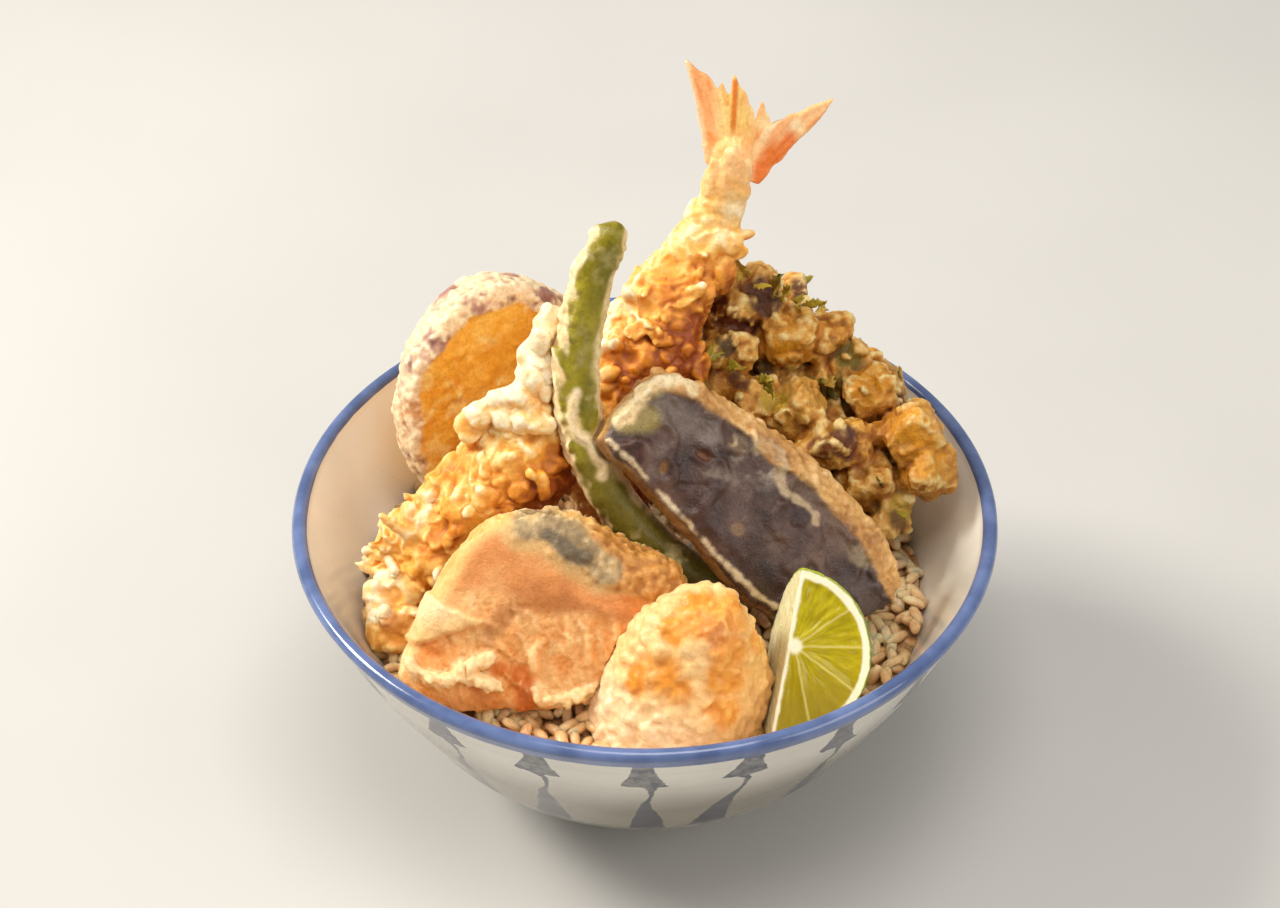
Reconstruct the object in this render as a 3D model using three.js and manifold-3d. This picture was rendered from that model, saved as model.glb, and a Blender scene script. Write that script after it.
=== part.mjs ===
// Tempura rice bowl: a glazed bowl of rice heaped with battered, fried pieces,
// a mound of grated radish and a piece of lime. Millimetres, +Z up, the bowl's
// axis on Z and its foot ring on z = 0. The heap faces -Y.
import * as THREE from 'three';
import { mergeVertices } from 'three/addons/utils/BufferGeometryUtils.js';
import Module from 'manifold-3d';

const wasm = await Module();
wasm.setup();

// ---- bowl ----
const RIM_RADIUS = 77.5;
const BOWL_HEIGHT = 69;
const WALL = 3.4;
const LIP_Z = BOWL_HEIGHT - WALL / 2;
const FOOT_RADIUS = 31;
const FOOT_HEIGHT = 7;
const FOOT_WIDTH = 4;
const FOOT_RECESS = 4.5;
const INNER_FLOOR = 12;
// The wall's section, radius and height, from the foot or floor to the lip.
const OUTER_WALL = [[FOOT_RADIUS, FOOT_HEIGHT], [50, 19], [60, 33.5], [69, 49], [RIM_RADIUS, LIP_Z]];
const INNER_WALL = [[22, INNER_FLOOR], [44, 19.5], [55.5, 33.5], [65, 49], [RIM_RADIUS - WALL, LIP_Z]];
const BOWL_SEGMENTS = 48;
const WALL_STEPS = 6;
const LIP_STEPS = 4;

// ---- rice ----
const RICE_EDGE = 46;
const RICE_CROWN = 52;
const RICE_RIPPLE = 0.9;
const RICE_STEPS = 3;

const GAP = 0.35; // clearance kept between pieces that touch

// ---------------------------------------------------------------- helpers

const { lerp } = THREE.MathUtils;

// A soft, repeatable unevenness between about -1 and 1.
function lumps(p, size) {
  const a = Math.sin(p.x / size + 1.3) * Math.sin(p.y / size + 0.4);
  const b = Math.sin(p.y / size * 1.3 + 2.1) * Math.sin(p.z / size * 1.2 + 0.9);
  const c = Math.sin(p.z / size * 0.9 + 4.2) * Math.sin(p.x / size * 1.1 + 3.3);
  return (a + b + c) / 1.8;
}

// Only positions, shared vertices merged, faces outward.
function tidied(geometry) {
  geometry.deleteAttribute('normal');
  geometry.deleteAttribute('uv');
  return mergeVertices(geometry, 1e-4);
}

// The volume's sign says whether the faces look outward.
function facingOut(geometry) {
  const position = geometry.attributes.position;
  const index = geometry.index.array;
  const corner = [0, 1, 2].map(() => new THREE.Vector3());
  let volume = 0;
  for (let i = 0; i < index.length; i += 3) {
    corner.forEach((c, k) => c.fromBufferAttribute(position, index[i + k]));
    volume += corner[0].dot(corner[1].clone().cross(corner[2]));
  }
  if (volume < 0) {
    for (let i = 0; i < index.length; i += 3) {
      [index[i], index[i + 1]] = [index[i + 1], index[i]];
    }
  }
  return geometry;
}

// A ball whose every point is put where place(along, around) says: along runs
// from 0 at one pole to 1 at the other, around from 0 to 1.
function shapedBall(segments, rings, place) {
  const ball = tidied(new THREE.SphereGeometry(1, segments, rings));
  const position = ball.attributes.position;
  const p = new THREE.Vector3();
  for (let i = 0; i < position.count; i += 1) {
    p.fromBufferAttribute(position, i);
    const along = Math.acos(THREE.MathUtils.clamp(p.y, -1, 1)) / Math.PI;
    const onPole = Math.hypot(p.x, p.z) < 1e-5;
    const around = onPole ? 0 : (Math.atan2(p.z, p.x) / (2 * Math.PI) + 1) % 1;
    const q = place(along, around);
    position.setXYZ(i, q.x, q.y, q.z);
  }
  return facingOut(ball);
}

// A long, round-ended body on a curve. radius(t) is its half width and batter
// adds unevenness.
function longBody({ path, radius, side, batter = 0, grain = 5, segments, steps }, grow) {
  const curve = new THREE.CatmullRomCurve3(path.map((q) => new THREE.Vector3(...q)));
  const sideways = new THREE.Vector3(...side);
  const length = curve.getLength() + 2 * grow;
  const cap = radius(0.5) + grow;
  const body = tidied(new THREE.CapsuleGeometry(1, length / cap - 2, 3, segments, steps));
  const position = body.attributes.position;
  const p = new THREE.Vector3();
  for (let i = 0; i < position.count; i += 1) {
    p.fromBufferAttribute(position, i);
    const t = THREE.MathUtils.clamp(0.5 - p.y * cap / length, 0, 1);
    const tangent = curve.getTangentAt(t);
    const across = sideways.clone().addScaledVector(tangent, -sideways.dot(tangent)).normalize();
    const over = new THREE.Vector3().crossVectors(tangent, across);
    const direction = across.multiplyScalar(p.x).addScaledVector(over, p.z);
    const q = curve.getPointAt(t).addScaledVector(tangent, (2 * t - 1) * grow);
    const swell = batter * lumps(q.clone().addScaledVector(direction, radius(t)), grain);
    q.addScaledVector(direction, radius(t) + grow + swell);
    position.setXYZ(i, q.x, q.y, q.z);
  }
  return facingOut(body);
}

// A thick slice: its outline runs through the given corners, its edge is round.
function slice({ outline, thickness, edge = 0.5, bulge = 0, batter = 0, grain = 5, segments, rings }, grow) {
  const corners = outline.map(([x, y]) => new THREE.Vector3(x, y, 0));
  const curve = new THREE.CatmullRomCurve3(corners, true, 'centripetal');
  return shapedBall(segments, rings, (along, around) => {
    const angle = Math.PI * along;
    const reach = Math.pow(Math.sin(angle), edge);
    const rise = Math.sign(Math.cos(angle)) * Math.pow(Math.abs(Math.cos(angle)), edge);
    const rim = curve.getPoint(around);
    const length = rim.length();
    const p = rim.multiplyScalar(reach * (length + grow) / length);
    p.z = rise * (thickness / 2 + grow) + bulge * (1 - reach * reach);
    const swell = batter * lumps(p, grain);
    p.z += swell * rise;
    p.x += swell * reach * p.x / length;
    p.y += swell * reach * p.y / length;
    return p;
  });
}

// Local X runs level, Y up the slope and Z out of the face, which looks at the
// given compass turn from -Y (positive towards +X) and height above level.
function facing([x, y, z], turn, height, roll = 0) {
  const a = THREE.MathUtils.degToRad(turn);
  const b = THREE.MathUtils.degToRad(height);
  const out = new THREE.Vector3(Math.sin(a) * Math.cos(b), -Math.cos(a) * Math.cos(b), Math.sin(b));
  const level = new THREE.Vector3(Math.cos(a), Math.sin(a), 0);
  const slope = new THREE.Vector3().crossVectors(out, level);
  const matrix = new THREE.Matrix4().makeBasis(level, slope, out).setPosition(x, y, z);
  return matrix.multiply(new THREE.Matrix4().makeRotationZ(THREE.MathUtils.degToRad(roll)));
}

function toSolid(geometry) {
  const clean = geometry.index ? geometry : mergeVertices(geometry, 1e-4);
  return new wasm.Manifold(new wasm.Mesh({
    numProp: 3,
    vertProperties: new Float32Array(clean.attributes.position.array),
    triVerts: new Uint32Array(clean.index.array),
  }));
}

function toGeometry(solid) {
  const mesh = solid.getMesh();
  const geometry = new THREE.BufferGeometry();
  geometry.setAttribute('position', new THREE.BufferAttribute(mesh.vertProperties, 3));
  geometry.setIndex(new THREE.BufferAttribute(mesh.triVerts, 1));
  return geometry;
}

const joined = (solids) => solids.reduce((sum, next) => sum.add(next));

// The biggest of the bodies that a cut leaves.
function mainBody(solid) {
  const bodies = solid.decompose();
  return bodies.reduce((best, next) => (next.volume() > best.volume() ? next : best));
}

// ---------------------------------------------------------------- bowl

// Points of a wall's section, from its low end up.
function section(wall) {
  const curve = new THREE.SplineCurve(wall.map(([r, z]) => new THREE.Vector2(r, z)));
  return curve.getPoints(WALL_STEPS).map(({ x, y }) => [x, y]);
}

function revolved(profile) {
  const points = profile.map(([r, z]) => new THREE.Vector2(r, z));
  return facingOut(tidied(new THREE.LatheGeometry(points, BOWL_SEGMENTS).rotateX(Math.PI / 2)));
}

function bowlSolid() {
  const profile = [
    [0, FOOT_RECESS],
    [FOOT_RADIUS - FOOT_WIDTH - 1, FOOT_RECESS],
    [FOOT_RADIUS - FOOT_WIDTH, 0],
    [FOOT_RADIUS - 0.8, 0],
    [FOOT_RADIUS, 0.8],
    [FOOT_RADIUS, FOOT_HEIGHT],
  ];
  profile.push(...section(OUTER_WALL).slice(1, -1));
  for (let k = 0; k <= LIP_STEPS; k += 1) {
    const a = Math.PI * k / LIP_STEPS;
    profile.push([RIM_RADIUS - WALL / 2 + Math.cos(a) * WALL / 2, LIP_Z + Math.sin(a) * WALL / 2]);
  }
  profile.push(...section(INNER_WALL).slice(0, -1).reverse(), [0, INNER_FLOOR]);
  return toSolid(revolved(profile));
}

// The space inside the bowl, and straight up from its rim, that food may fill.
function roomSolid() {
  const wall = section(INNER_WALL).map(([r, z]) => [r - 2 * GAP, z + GAP]);
  const top = 3 * BOWL_HEIGHT;
  return toSolid(revolved([[0, INNER_FLOOR + GAP], ...wall, [RIM_RADIUS - WALL - 2 * GAP, top], [0, top]]));
}

// ---------------------------------------------------------------- rice

function riceSolid() {
  const wall = section(INNER_WALL).map(([r, z]) => [r - 2 * GAP, z + GAP]);
  const below = wall.filter(([, z]) => z < RICE_EDGE - 3);
  const [lowRadius, low] = below[below.length - 1];
  const [highRadius, high] = wall[below.length];
  const edgeRadius = lerp(lowRadius, highRadius, (RICE_EDGE - low) / (high - low));
  const profile = [[0, INNER_FLOOR + GAP], ...below];
  for (let k = 0; k <= RICE_STEPS; k += 1) {
    const t = k / RICE_STEPS;
    const rise = (RICE_CROWN - RICE_EDGE) * Math.sin(t * Math.PI / 2);
    profile.push([edgeRadius * (1 - t), RICE_EDGE + rise]);
  }
  const fill = revolved(profile);
  const position = fill.attributes.position;
  const p = new THREE.Vector3();
  for (let i = 0; i < position.count; i += 1) {
    p.fromBufferAttribute(position, i);
    if (p.z > RICE_EDGE + 0.01) {
      position.setZ(i, p.z + RICE_RIPPLE * lumps(p, 4));
    }
  }
  return toSolid(fill);
}

// ---------------------------------------------------------------- food

// Straight lines between evenly spaced values.
function through(values) {
  return (t) => {
    const s = t * (values.length - 1);
    const k = Math.min(Math.floor(s), values.length - 2);
    return lerp(values[k], values[k + 1], s - k);
  };
}

function limeSolid(grow) {
  const radius = 18.5 + grow;
  const ball = toSolid(tidied(new THREE.SphereGeometry(radius, 26, 16)));
  const block = new THREE.BoxGeometry(radius + 1, 2 * radius + 2, radius + 1);
  block.translate((radius + 1) / 2 - grow, 0, -(radius + 1) / 2 + grow);
  const quarter = ball.intersect(toSolid(tidied(block)));
  // the cut faces look at the viewer and to the left
  const place = facing([29.6, -46.5, 68], 13, 38, -19);
  return toSolid(tidied(toGeometry(quarter).applyMatrix4(place)));
}

function radishSolid(grow) {
  // a heaped mound, widest near its foot, whose top leans a little to the right
  const [x, y, low, middle, high, width, depth] = [8.7, -43.5, 38, 45, 79.8, 21, 18.5];
  const [taper, lean] = [0.23, 2.4];
  const place = (along, around) => {
    const turn = 2 * Math.PI * around;
    const angle = Math.PI * along;
    const up = Math.max(Math.cos(angle), 0);
    const down = Math.max(-Math.cos(angle), 0);
    const reach = (1 - taper * up) * Math.pow(Math.sin(angle), 0.6);
    const z = lerp(middle, high + grow, up) - down * (middle - low + grow);
    const p = new THREE.Vector3(x + lean * up + (width + grow) * reach * Math.cos(turn),
      y + (depth + grow) * reach * Math.sin(turn), z);
    const outward = new THREE.Vector3(Math.cos(turn) * reach, Math.sin(turn) * reach, up - down);
    return p.addScaledVector(outward, lumps(p, 4.5));
  };
  return toSolid(shapedBall(16, 11, place));
}

function salmonSolid(grow) {
  const geometry = slice({
    outline: [[-32, -14], [-27, -3], [-19, 11], [-8, 20.5], [3, 21], [14, 16.5], [22, 11.5],
      [30, 7.5], [30.5, -6], [22, -17], [4, -21], [-16, -21], [-28, -19]],
    thickness: 14, edge: 0.42, bulge: 1, batter: 0.8, grain: 4, segments: 28, rings: 8,
  }, grow);
  return toSolid(tidied(geometry.applyMatrix4(facing([-22.5, -30.5, 66.5], 5, 33))));
}

function eggplantSolid(grow) {
  const geometry = slice({
    outline: [[-37, -5], [-31, 14], [-24, 15.5], [-6, 14], [13, 11], [29, 4], [38, -2],
      [39.5, -9], [34, -16], [13, -24], [-8, -16.5], [-26, -9.5]],
    thickness: 10, edge: 0.4, bulge: 2, batter: 0.4, grain: 4, segments: 30, rings: 8,
  }, grow);
  return toSolid(tidied(geometry.applyMatrix4(facing([23, -9.6, 81.5], 28, 40, -42))));
}

function pepperSolid(grow) {
  return toSolid(longBody({
    path: [[-5, 6, 141], [-10, 5, 132], [-14, 0, 113], [-14.5, -4, 102], [-9, -10, 84.5],
      [3, -15, 70], [20.5, -20, 58.5]],
    radius: through([3.6, 4.8, 5, 5, 4.9, 4.4, 4]), side: [1, 0, 0], batter: 0.3, grain: 4,
    segments: 10, steps: 13,
  }, grow));
}

function leaningShrimpSolid(grow) {
  const body = longBody({
    path: [[-19, 9, 119], [-19.5, 5, 108.5], [-21.5, 2, 97], [-26, -2, 85], [-34.5, -4, 73.5],
      [-46, -5, 62], [-60.5, -5, 53.5]],
    radius: through([5.5, 7.5, 10.5, 12.5, 12.5, 12, 10]), side: [0, 1, 0], batter: 1.5, grain: 3.6,
    segments: 13, steps: 12,
  }, grow);
  // loose batter at its lower end, beside the salmon
  const frill = tidied(new THREE.SphereGeometry(1, 10, 7));
  frill.scale(9 + grow, 8.5 + grow, 6.5 + grow).translate(-53, -17, 51);
  return joined([toSolid(body), toSolid(frill)]);
}

function uprightShrimpSolid(grow) {
  return toSolid(longBody({
    path: [[19.5, 41, 129], [15.5, 38, 120], [10.5, 34, 113], [5, 29, 103.5], [0, 24, 93.5],
      [-4, 19, 83.5], [-7.5, 13, 71], [-10, 7, 57]],
    radius: through([5, 7.5, 9.5, 11.5, 12.5, 13, 12.5, 9]), side: [1, 0, 0], batter: 1.4,
    grain: 3.6, segments: 13, steps: 14,
  }, grow));
}

// The fan of blades at the end of the upright shrimp, flat in its own plane.
const TAIL_BLADES = [
  { outline: [[-5.2, 1], [-6.8, 12], [-9.3, 24], [-3.5, 19.5], [-1, 15], [1, 1]], lift: 0.5, swing: -12 },
  { outline: [[-3, 1], [-4, 14], [-1.5, 18.5], [2, 12], [2, 1]], lift: -0.9, swing: -8 },
  { outline: [[-1.5, 2], [-0.5, 13], [1.2, 20.5], [4.2, 15], [6, 9.5], [4, 1]], lift: 0.2, swing: 0 },
  { outline: [[2, 1], [5.5, 9], [7.6, 13.8], [9.5, 9], [7, 1]], lift: -0.9, swing: 8 },
  { outline: [[1, 0.5], [8, 8.5], [14, 10.5], [24, 13.5], [18.5, 7], [13.5, 3], [6, -4], [3, -3]],
    lift: 0.5, swing: 12 },
];
const BLADE_THICKNESS = 1.4;

function shrimpTailSolid() {
  const blades = TAIL_BLADES.map(({ outline, lift, swing }) => {
    const shape = new THREE.Shape(outline.map(([x, y]) => new THREE.Vector2(x, y)));
    const blade = new THREE.ExtrudeGeometry(shape, { depth: BLADE_THICKNESS, bevelEnabled: false });
    blade.translate(0, 0, lift - BLADE_THICKNESS / 2);
    blade.rotateY(THREE.MathUtils.degToRad(swing));
    return toSolid(tidied(blade));
  });
  const root = tidied(new THREE.SphereGeometry(4.8, 12, 7).scale(1, 1.2, 0.7).translate(0.3, 1.5, 0));
  const tail = toGeometry(joined([toSolid(root), ...blades]));
  return toSolid(tidied(tail.applyMatrix4(facing([18.7, 42, 130], 5, 22))));
}

function sweetPotatoSolid(grow) {
  const geometry = slice({
    outline: [[-26.5, 0], [-21, 20], [-6, 32], [9, 30], [22, 17], [27, -2], [20, -20], [4, -30],
      [-14, -25], [-24, -12]],
    thickness: 12, edge: 0.32, batter: 0.6, grain: 4, segments: 26, rings: 8,
  }, grow);
  return toSolid(tidied(geometry.applyMatrix4(facing([-32.5, 37, 69], 31, 10, 6))));
}

// Diced vegetables fried together: [x, y, z, half size, turn].
const DICE = [
  [25, 37, 99, 6.5, 20], [19, 35, 97.5, 6, 50], [32, 32, 91.5, 6, 5], [18, 29, 90, 5.5, 70],
  [18.5, 24, 84, 5, 30], [24.5, 20, 82, 5, 15], [33.5, 19, 80.5, 6, 40], [44.5, 14, 75.5, 6, 65],
  [49.5, 10, 67.5, 6.5, 10], [59.5, 14, 78, 6, 35], [62.5, 10, 71, 6, 55], [50, 25, 81, 6, 25],
  [40.5, 34, 88.5, 5.5, 75], [46, 31, 83.5, 5, 20], [54, 5, 62, 5, 60], [39, 12, 76, 5, 45],
  [31, 43, 90, 6.5, 80], [42, 43, 80, 6.5, 18], [52, 36, 72, 6.5, 48],
  [21, 46, 87, 6.5, 33], [60, 25, 69, 6, 8], [33, 51, 75, 6.5, 52],
];

function fritterSolid(grow) {
  const core = slice({
    outline: [[-22, -8], [-19, 11], [-2, 19], [16, 12], [22, -4], [13, -19], [-8, -21]],
    thickness: 18, edge: 0.6, segments: 14, rings: 6,
  }, grow);
  const body = toSolid(tidied(core.applyMatrix4(facing([40, 29, 72], 25, 42))));
  const cubes = DICE.map(([x, y, z, half, turn]) => {
    const cube = tidied(new THREE.BoxGeometry(2, 2, 2, 2, 2, 2));
    const position = cube.attributes.position;
    const p = new THREE.Vector3();
    for (let i = 0; i < position.count; i += 1) {
      p.fromBufferAttribute(position, i);
      const corner = Math.pow(p.x ** 4 + p.y ** 4 + p.z ** 4, -0.25);
      p.multiplyScalar((half + grow) * corner * p.length() ** 0.2);
      position.setXYZ(i, p.x, p.y, p.z);
    }
    cube.rotateZ(THREE.MathUtils.degToRad(turn));
    cube.rotateX(THREE.MathUtils.degToRad(turn * 2.3));
    return toSolid(cube.translate(x, y, z));
  });
  return joined([body, ...cubes]);
}

// ---------------------------------------------------------------- assembly

// Front pieces first: each piece is cut clear of those named before it.
const PIECES = [
  ['lime', limeSolid, 0xb9bd2c, 0.35],
  ['grated_radish', radishSolid, 0xf6e7c8, 0.6],
  ['eggplant', eggplantSolid, 0x54404a, 0.4],
  ['salmon', salmonSolid, 0xe59f6b, 0.5],
  ['green_pepper', pepperSolid, 0x7d7f28, 0.4],
  ['leaning_shrimp', leaningShrimpSolid, 0xf0b865, 0.6],
  ['upright_shrimp', uprightShrimpSolid, 0xf0b058, 0.6],
  ['sweet_potato', sweetPotatoSolid, 0xe39a28, 0.5],
  ['vegetable_fritter', fritterSolid, 0xc98f45, 0.6],
];

const group = new THREE.Group();

function addPiece(name, solid, colour, roughness) {
  const material = new THREE.MeshStandardMaterial({ color: colour, roughness, metalness: 0 });
  const mesh = new THREE.Mesh(toGeometry(solid), material);
  mesh.name = name;
  group.add(mesh);
}

function overlaps(a, b) {
  const [p, q] = [a.boundingBox(), b.boundingBox()];
  return [0, 1, 2].every((k) => p.min[k] < q.max[k] && q.min[k] < p.max[k]);
}

const bowl = bowlSolid();
const room = roomSolid();
addPiece('bowl', bowl, 0xe6dfd0, 0.15);

const before = [];
for (const [name, make, colour, roughness] of PIECES) {
  const free = make(0);
  const whole = free.intersect(bowl).volume() > 0 ? free.intersect(room) : free;
  const near = before.filter((other) => overlaps(whole, other) && whole.intersect(other).volume() > 0);
  const solid = near.length ? mainBody(near.reduce((rest, other) => rest.subtract(other), whole)) : whole;
  addPiece(name, solid, colour, roughness);
  before.push(make(GAP));
}

const tail = shrimpTailSolid();
addPiece('shrimp_tail', mainBody(before.reduce((rest, other) => rest.subtract(other), tail)), 0xf0955a, 0.4);

const rice = before.reduce((rest, other) => rest.subtract(other), riceSolid());
addPiece('rice', mainBody(rice), 0xf4ecd8, 0.5);

export default group;
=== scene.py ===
"""Looks of a tempura rice bowl: battered shrimps, vegetables and salmon on rice in a glazed bowl."""

import itertools
import math

import bmesh
import bpy
import numpy as np
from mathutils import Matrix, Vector
from mathutils.bvhtree import BVHTree


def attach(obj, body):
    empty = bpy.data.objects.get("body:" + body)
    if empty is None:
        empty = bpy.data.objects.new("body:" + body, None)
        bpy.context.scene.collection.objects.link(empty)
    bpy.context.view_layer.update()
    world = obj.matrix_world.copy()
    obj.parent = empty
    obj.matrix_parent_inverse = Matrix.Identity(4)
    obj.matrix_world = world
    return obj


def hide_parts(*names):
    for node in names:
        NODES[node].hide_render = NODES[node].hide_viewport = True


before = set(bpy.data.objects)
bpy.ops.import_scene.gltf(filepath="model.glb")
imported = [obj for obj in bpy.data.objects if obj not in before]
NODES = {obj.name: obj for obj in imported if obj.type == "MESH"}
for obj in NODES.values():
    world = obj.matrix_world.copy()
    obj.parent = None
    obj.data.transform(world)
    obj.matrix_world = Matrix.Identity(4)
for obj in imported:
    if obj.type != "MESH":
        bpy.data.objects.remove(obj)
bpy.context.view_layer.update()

MM = 0.001
UP = np.array([0.0, 0.0, 1.0])


# ---------------------------------------------------------------- numbers


def srgb(red, green, blue):
    """The linear colour of an 8-bit one."""
    c = np.array([red, green, blue]) / 255
    return np.where(c <= 0.04045, c / 12.92, ((c + 0.055) / 1.055) ** 2.4)


def step(low, high, x):
    """From 0 at low to 1 at high, softly at both ends."""
    t = np.clip((x - low) / (high - low), 0, 1)
    return t * t * (3 - 2 * t)


def blend(a, b, t):
    """Colour a where t is 0 and colour b where it is 1."""
    t = np.clip(t, 0, 1)[:, None]
    return a * (1 - t) + b * t


def coated(colours, *coats):
    """The colours under coats of paint in turn, each (red, green, blue, how much of it), in 8-bit colour."""
    for red, green, blue, share in coats:
        colours = blend(colours, srgb(red, green, blue), share)
    return colours


def ramp(t, *stops):
    """The colour at t between stops of (t, red, green, blue), in 8-bit colour."""
    at = [stop[0] for stop in stops]
    colours = np.array([srgb(*stop[1:]) for stop in stops])
    return np.stack([np.interp(t, at, colours[:, k]) for k in range(3)], axis=1)


def unit(v):
    return v / np.maximum(np.linalg.norm(v, axis=-1, keepdims=True), 1e-9)


def hashed(i, j, k, salt):
    """A number from 0 to 1 for each whole-number place, always the same one."""
    h = (i * 73856093) ^ (j * 19349663) ^ (k * 83492791) ^ (salt * 1640531513)
    h = h & 0xFFFFFFFF
    h = ((h ^ (h >> 15)) * 2246822519) & 0xFFFFFFFF
    h = ((h ^ (h >> 13)) * 3266489917) & 0xFFFFFFFF
    return ((h ^ (h >> 16)) & 0xFFFFFF) / 0xFFFFFF


def turned(p, angle):
    """The points turned about two axes, so that the noise grid lies askew."""
    c, s = math.cos(angle), math.sin(angle)
    x, y, z = p.T
    x, y = c * x - s * y, s * x + c * y
    return np.stack([x, c * y - s * z, s * y + c * z], axis=1)


def noise(p, size, octaves=2, salt=0):
    """Soft noise from about -1 to 1, with lumps about size across."""
    total, share = np.zeros(len(p)), 1.0
    for octave in range(octaves):
        q = turned(p, 0.7 + 1.3 * octave) / (size / 2**octave)
        base = np.floor(q).astype(np.int64)
        f = q - base
        f = f * f * (3 - 2 * f)
        value = np.zeros(len(p))
        for corner in itertools.product((0, 1), repeat=3):
            weight = np.prod(np.where(corner, f, 1 - f), axis=1)
            value += weight * hashed(*(base + corner).T, salt + 31 * octave)
        total += share * (2 * value - 1)
        share *= 0.5
    return total


def cells(p, size, salt=0):
    """Distance to the nearest scattered point, in sizes, and that point's own number from 0 to 1."""
    q = turned(p, 0.9) / size
    base = np.floor(q).astype(np.int64)
    first, own = np.full(len(p), 9.0), np.zeros(len(p))
    for move in itertools.product((-1, 0, 1), repeat=3):
        cell = base + move
        point = cell + np.stack([hashed(*cell.T, salt + n) for n in (1, 2, 3)], axis=1)
        d = np.linalg.norm(point - q, axis=1)
        closer = d < first
        own = np.where(closer, hashed(*cell.T, salt + 4), own)
        first = np.where(closer, d, first)
    return first, own


def along_spline(points, t):
    """Places on a Catmull-Rom curve through the points; t runs from 0 to 1."""
    points = np.array(points, float)
    s = np.clip(t, 0, 1) * (len(points) - 1)
    k = np.minimum(np.floor(s).astype(int), len(points) - 2)
    f = (s - k)[:, None]
    a, b, c, d = (points[np.clip(k + n, 0, len(points) - 1)] for n in (-1, 0, 1, 2))
    return b + 0.5 * f * (c - a + f * (2 * a - 5 * b + 4 * c - d + f * (3 * (b - c) + d - a)))


class Place:
    """A flat piece's own axes: x level, y up its slope and z out of its face. All in millimetres."""

    def __init__(self, centre, turn, height, roll=0.0):
        a, b, r = np.radians([turn, height, roll])
        out = np.array([math.sin(a) * math.cos(b), -math.cos(a) * math.cos(b), math.sin(b)])
        level = np.array([math.cos(a), math.sin(a), 0.0])
        slope = np.cross(out, level)
        self.centre = np.array(centre, float)
        self.axes = np.stack(
            [level * math.cos(r) + slope * math.sin(r), slope * math.cos(r) - level * math.sin(r), out],
            axis=1,
        )

    def inside(self, p):
        return (p - self.centre) @ self.axes

    def turned(self, n):
        return n @ self.axes

    def outside(self, p):
        return self.centre + np.asarray(p, float) @ self.axes.T


# ---------------------------------------------------------------- meshes


def new_object(name, points, faces):
    """An object from points in millimetres."""
    mesh = bpy.data.meshes.new(name)
    mesh.from_pydata((np.asarray(points) * MM).tolist(), [], [list(map(int, f)) for f in faces])
    mesh.polygons.foreach_set("use_smooth", [True] * len(mesh.polygons))
    mesh.update()
    o = bpy.data.objects.new(name, mesh)
    bpy.context.scene.collection.objects.link(o)
    return o


def points_of(mesh):
    p = np.empty(3 * len(mesh.vertices))
    mesh.vertices.foreach_get("co", p)
    return p.reshape(-1, 3) / MM


def normals_of(mesh):
    n = np.empty(3 * len(mesh.vertices))
    mesh.vertex_normals.foreach_get("vector", n)
    return n.reshape(-1, 3)


def solid_of(node):
    """The CAD node's points and faces."""
    mesh = NODES[node].data
    return points_of(mesh), [tuple(f.vertices) for f in mesh.polygons]


def together(*solids):
    """Several (points, faces) as one."""
    points, faces, first = [], [], 0
    for p, f in solids:
        points.append(np.asarray(p))
        faces.extend(tuple(i + first for i in face) for face in f)
        first += len(p)
    return np.concatenate(points), faces


def smoothing(rounds):
    return "SMOOTH", {"factor": 0.5, "iterations": rounds}


def with_modifiers(o, *modifiers):
    """A new mesh: o's with the modifiers, each (kind, settings), applied."""
    for kind, settings in modifiers:
        modifier = o.modifiers.new(kind, kind)
        for key, value in settings.items():
            setattr(modifier, key, value)
    graph = bpy.context.evaluated_depsgraph_get()
    mesh = bpy.data.meshes.new_from_object(o.evaluated_get(graph))
    o.modifiers.clear()
    return mesh


def ball(subdivisions):
    """A unit ball of triangles."""
    b = bmesh.new()
    bmesh.ops.create_icosphere(b, subdivisions=subdivisions, radius=1)
    points = np.array([v.co[:] for v in b.verts])
    faces = [tuple(v.index for v in f.verts) for f in b.faces]
    b.free()
    return points, faces


BALL = ball(2)


def copies(shape, origins, frames):
    """The small closed shape at each origin, in each frame, whose columns are its axes with their lengths."""
    p, f = shape
    points = origins[:, None, :] + np.einsum("nij,pj->npi", frames, p)
    starts = np.arange(len(origins)) * len(p)
    faces = (np.array(f)[None] + starts[:, None, None]).reshape(-1, len(f[0]))
    return points.reshape(-1, 3), [tuple(face) for face in faces.tolist()]


def frames_on(rng, normals, sizes, lean=0.0):
    """Frames that stand on a surface at random turns; sizes are half lengths, the last along the normal."""
    side = unit(np.cross(normals, rng.normal(size=normals.shape)))
    front = np.cross(normals, side)
    angle = rng.uniform(-lean, lean, len(normals))[:, None]
    up = normals * np.cos(angle) + side * np.sin(angle)
    side = side * np.cos(angle) - normals * np.sin(angle)
    return np.stack([side * sizes[:, :1], front * sizes[:, 1:2], up * sizes[:, 2:]], axis=2)


def spots(rng, points, chance, spacing):
    """Indices of points picked by chance that stay a spacing apart."""
    taken, kept = {}, []
    for i in rng.permutation(np.flatnonzero(rng.random(len(points)) < chance)):
        key = tuple(np.floor(points[i] / spacing).astype(int))
        near = itertools.product(*[(k - 1, k, k + 1) for k in key])
        if any(np.sum((taken[n] - points[i]) ** 2) < spacing**2 for n in near if n in taken):
            continue
        taken[key] = points[i]
        kept.append(i)
    return np.array(kept, int)


def paint(mesh, colours):
    """Stores a linear colour for each point, which the food's material reads."""
    rgba = np.concatenate([np.clip(colours, 0, 1), np.ones((len(colours), 1))], axis=1)
    layer = mesh.color_attributes.new("tint", "FLOAT_COLOR", "POINT")
    layer.data.foreach_set("color", rgba.ravel())


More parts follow.
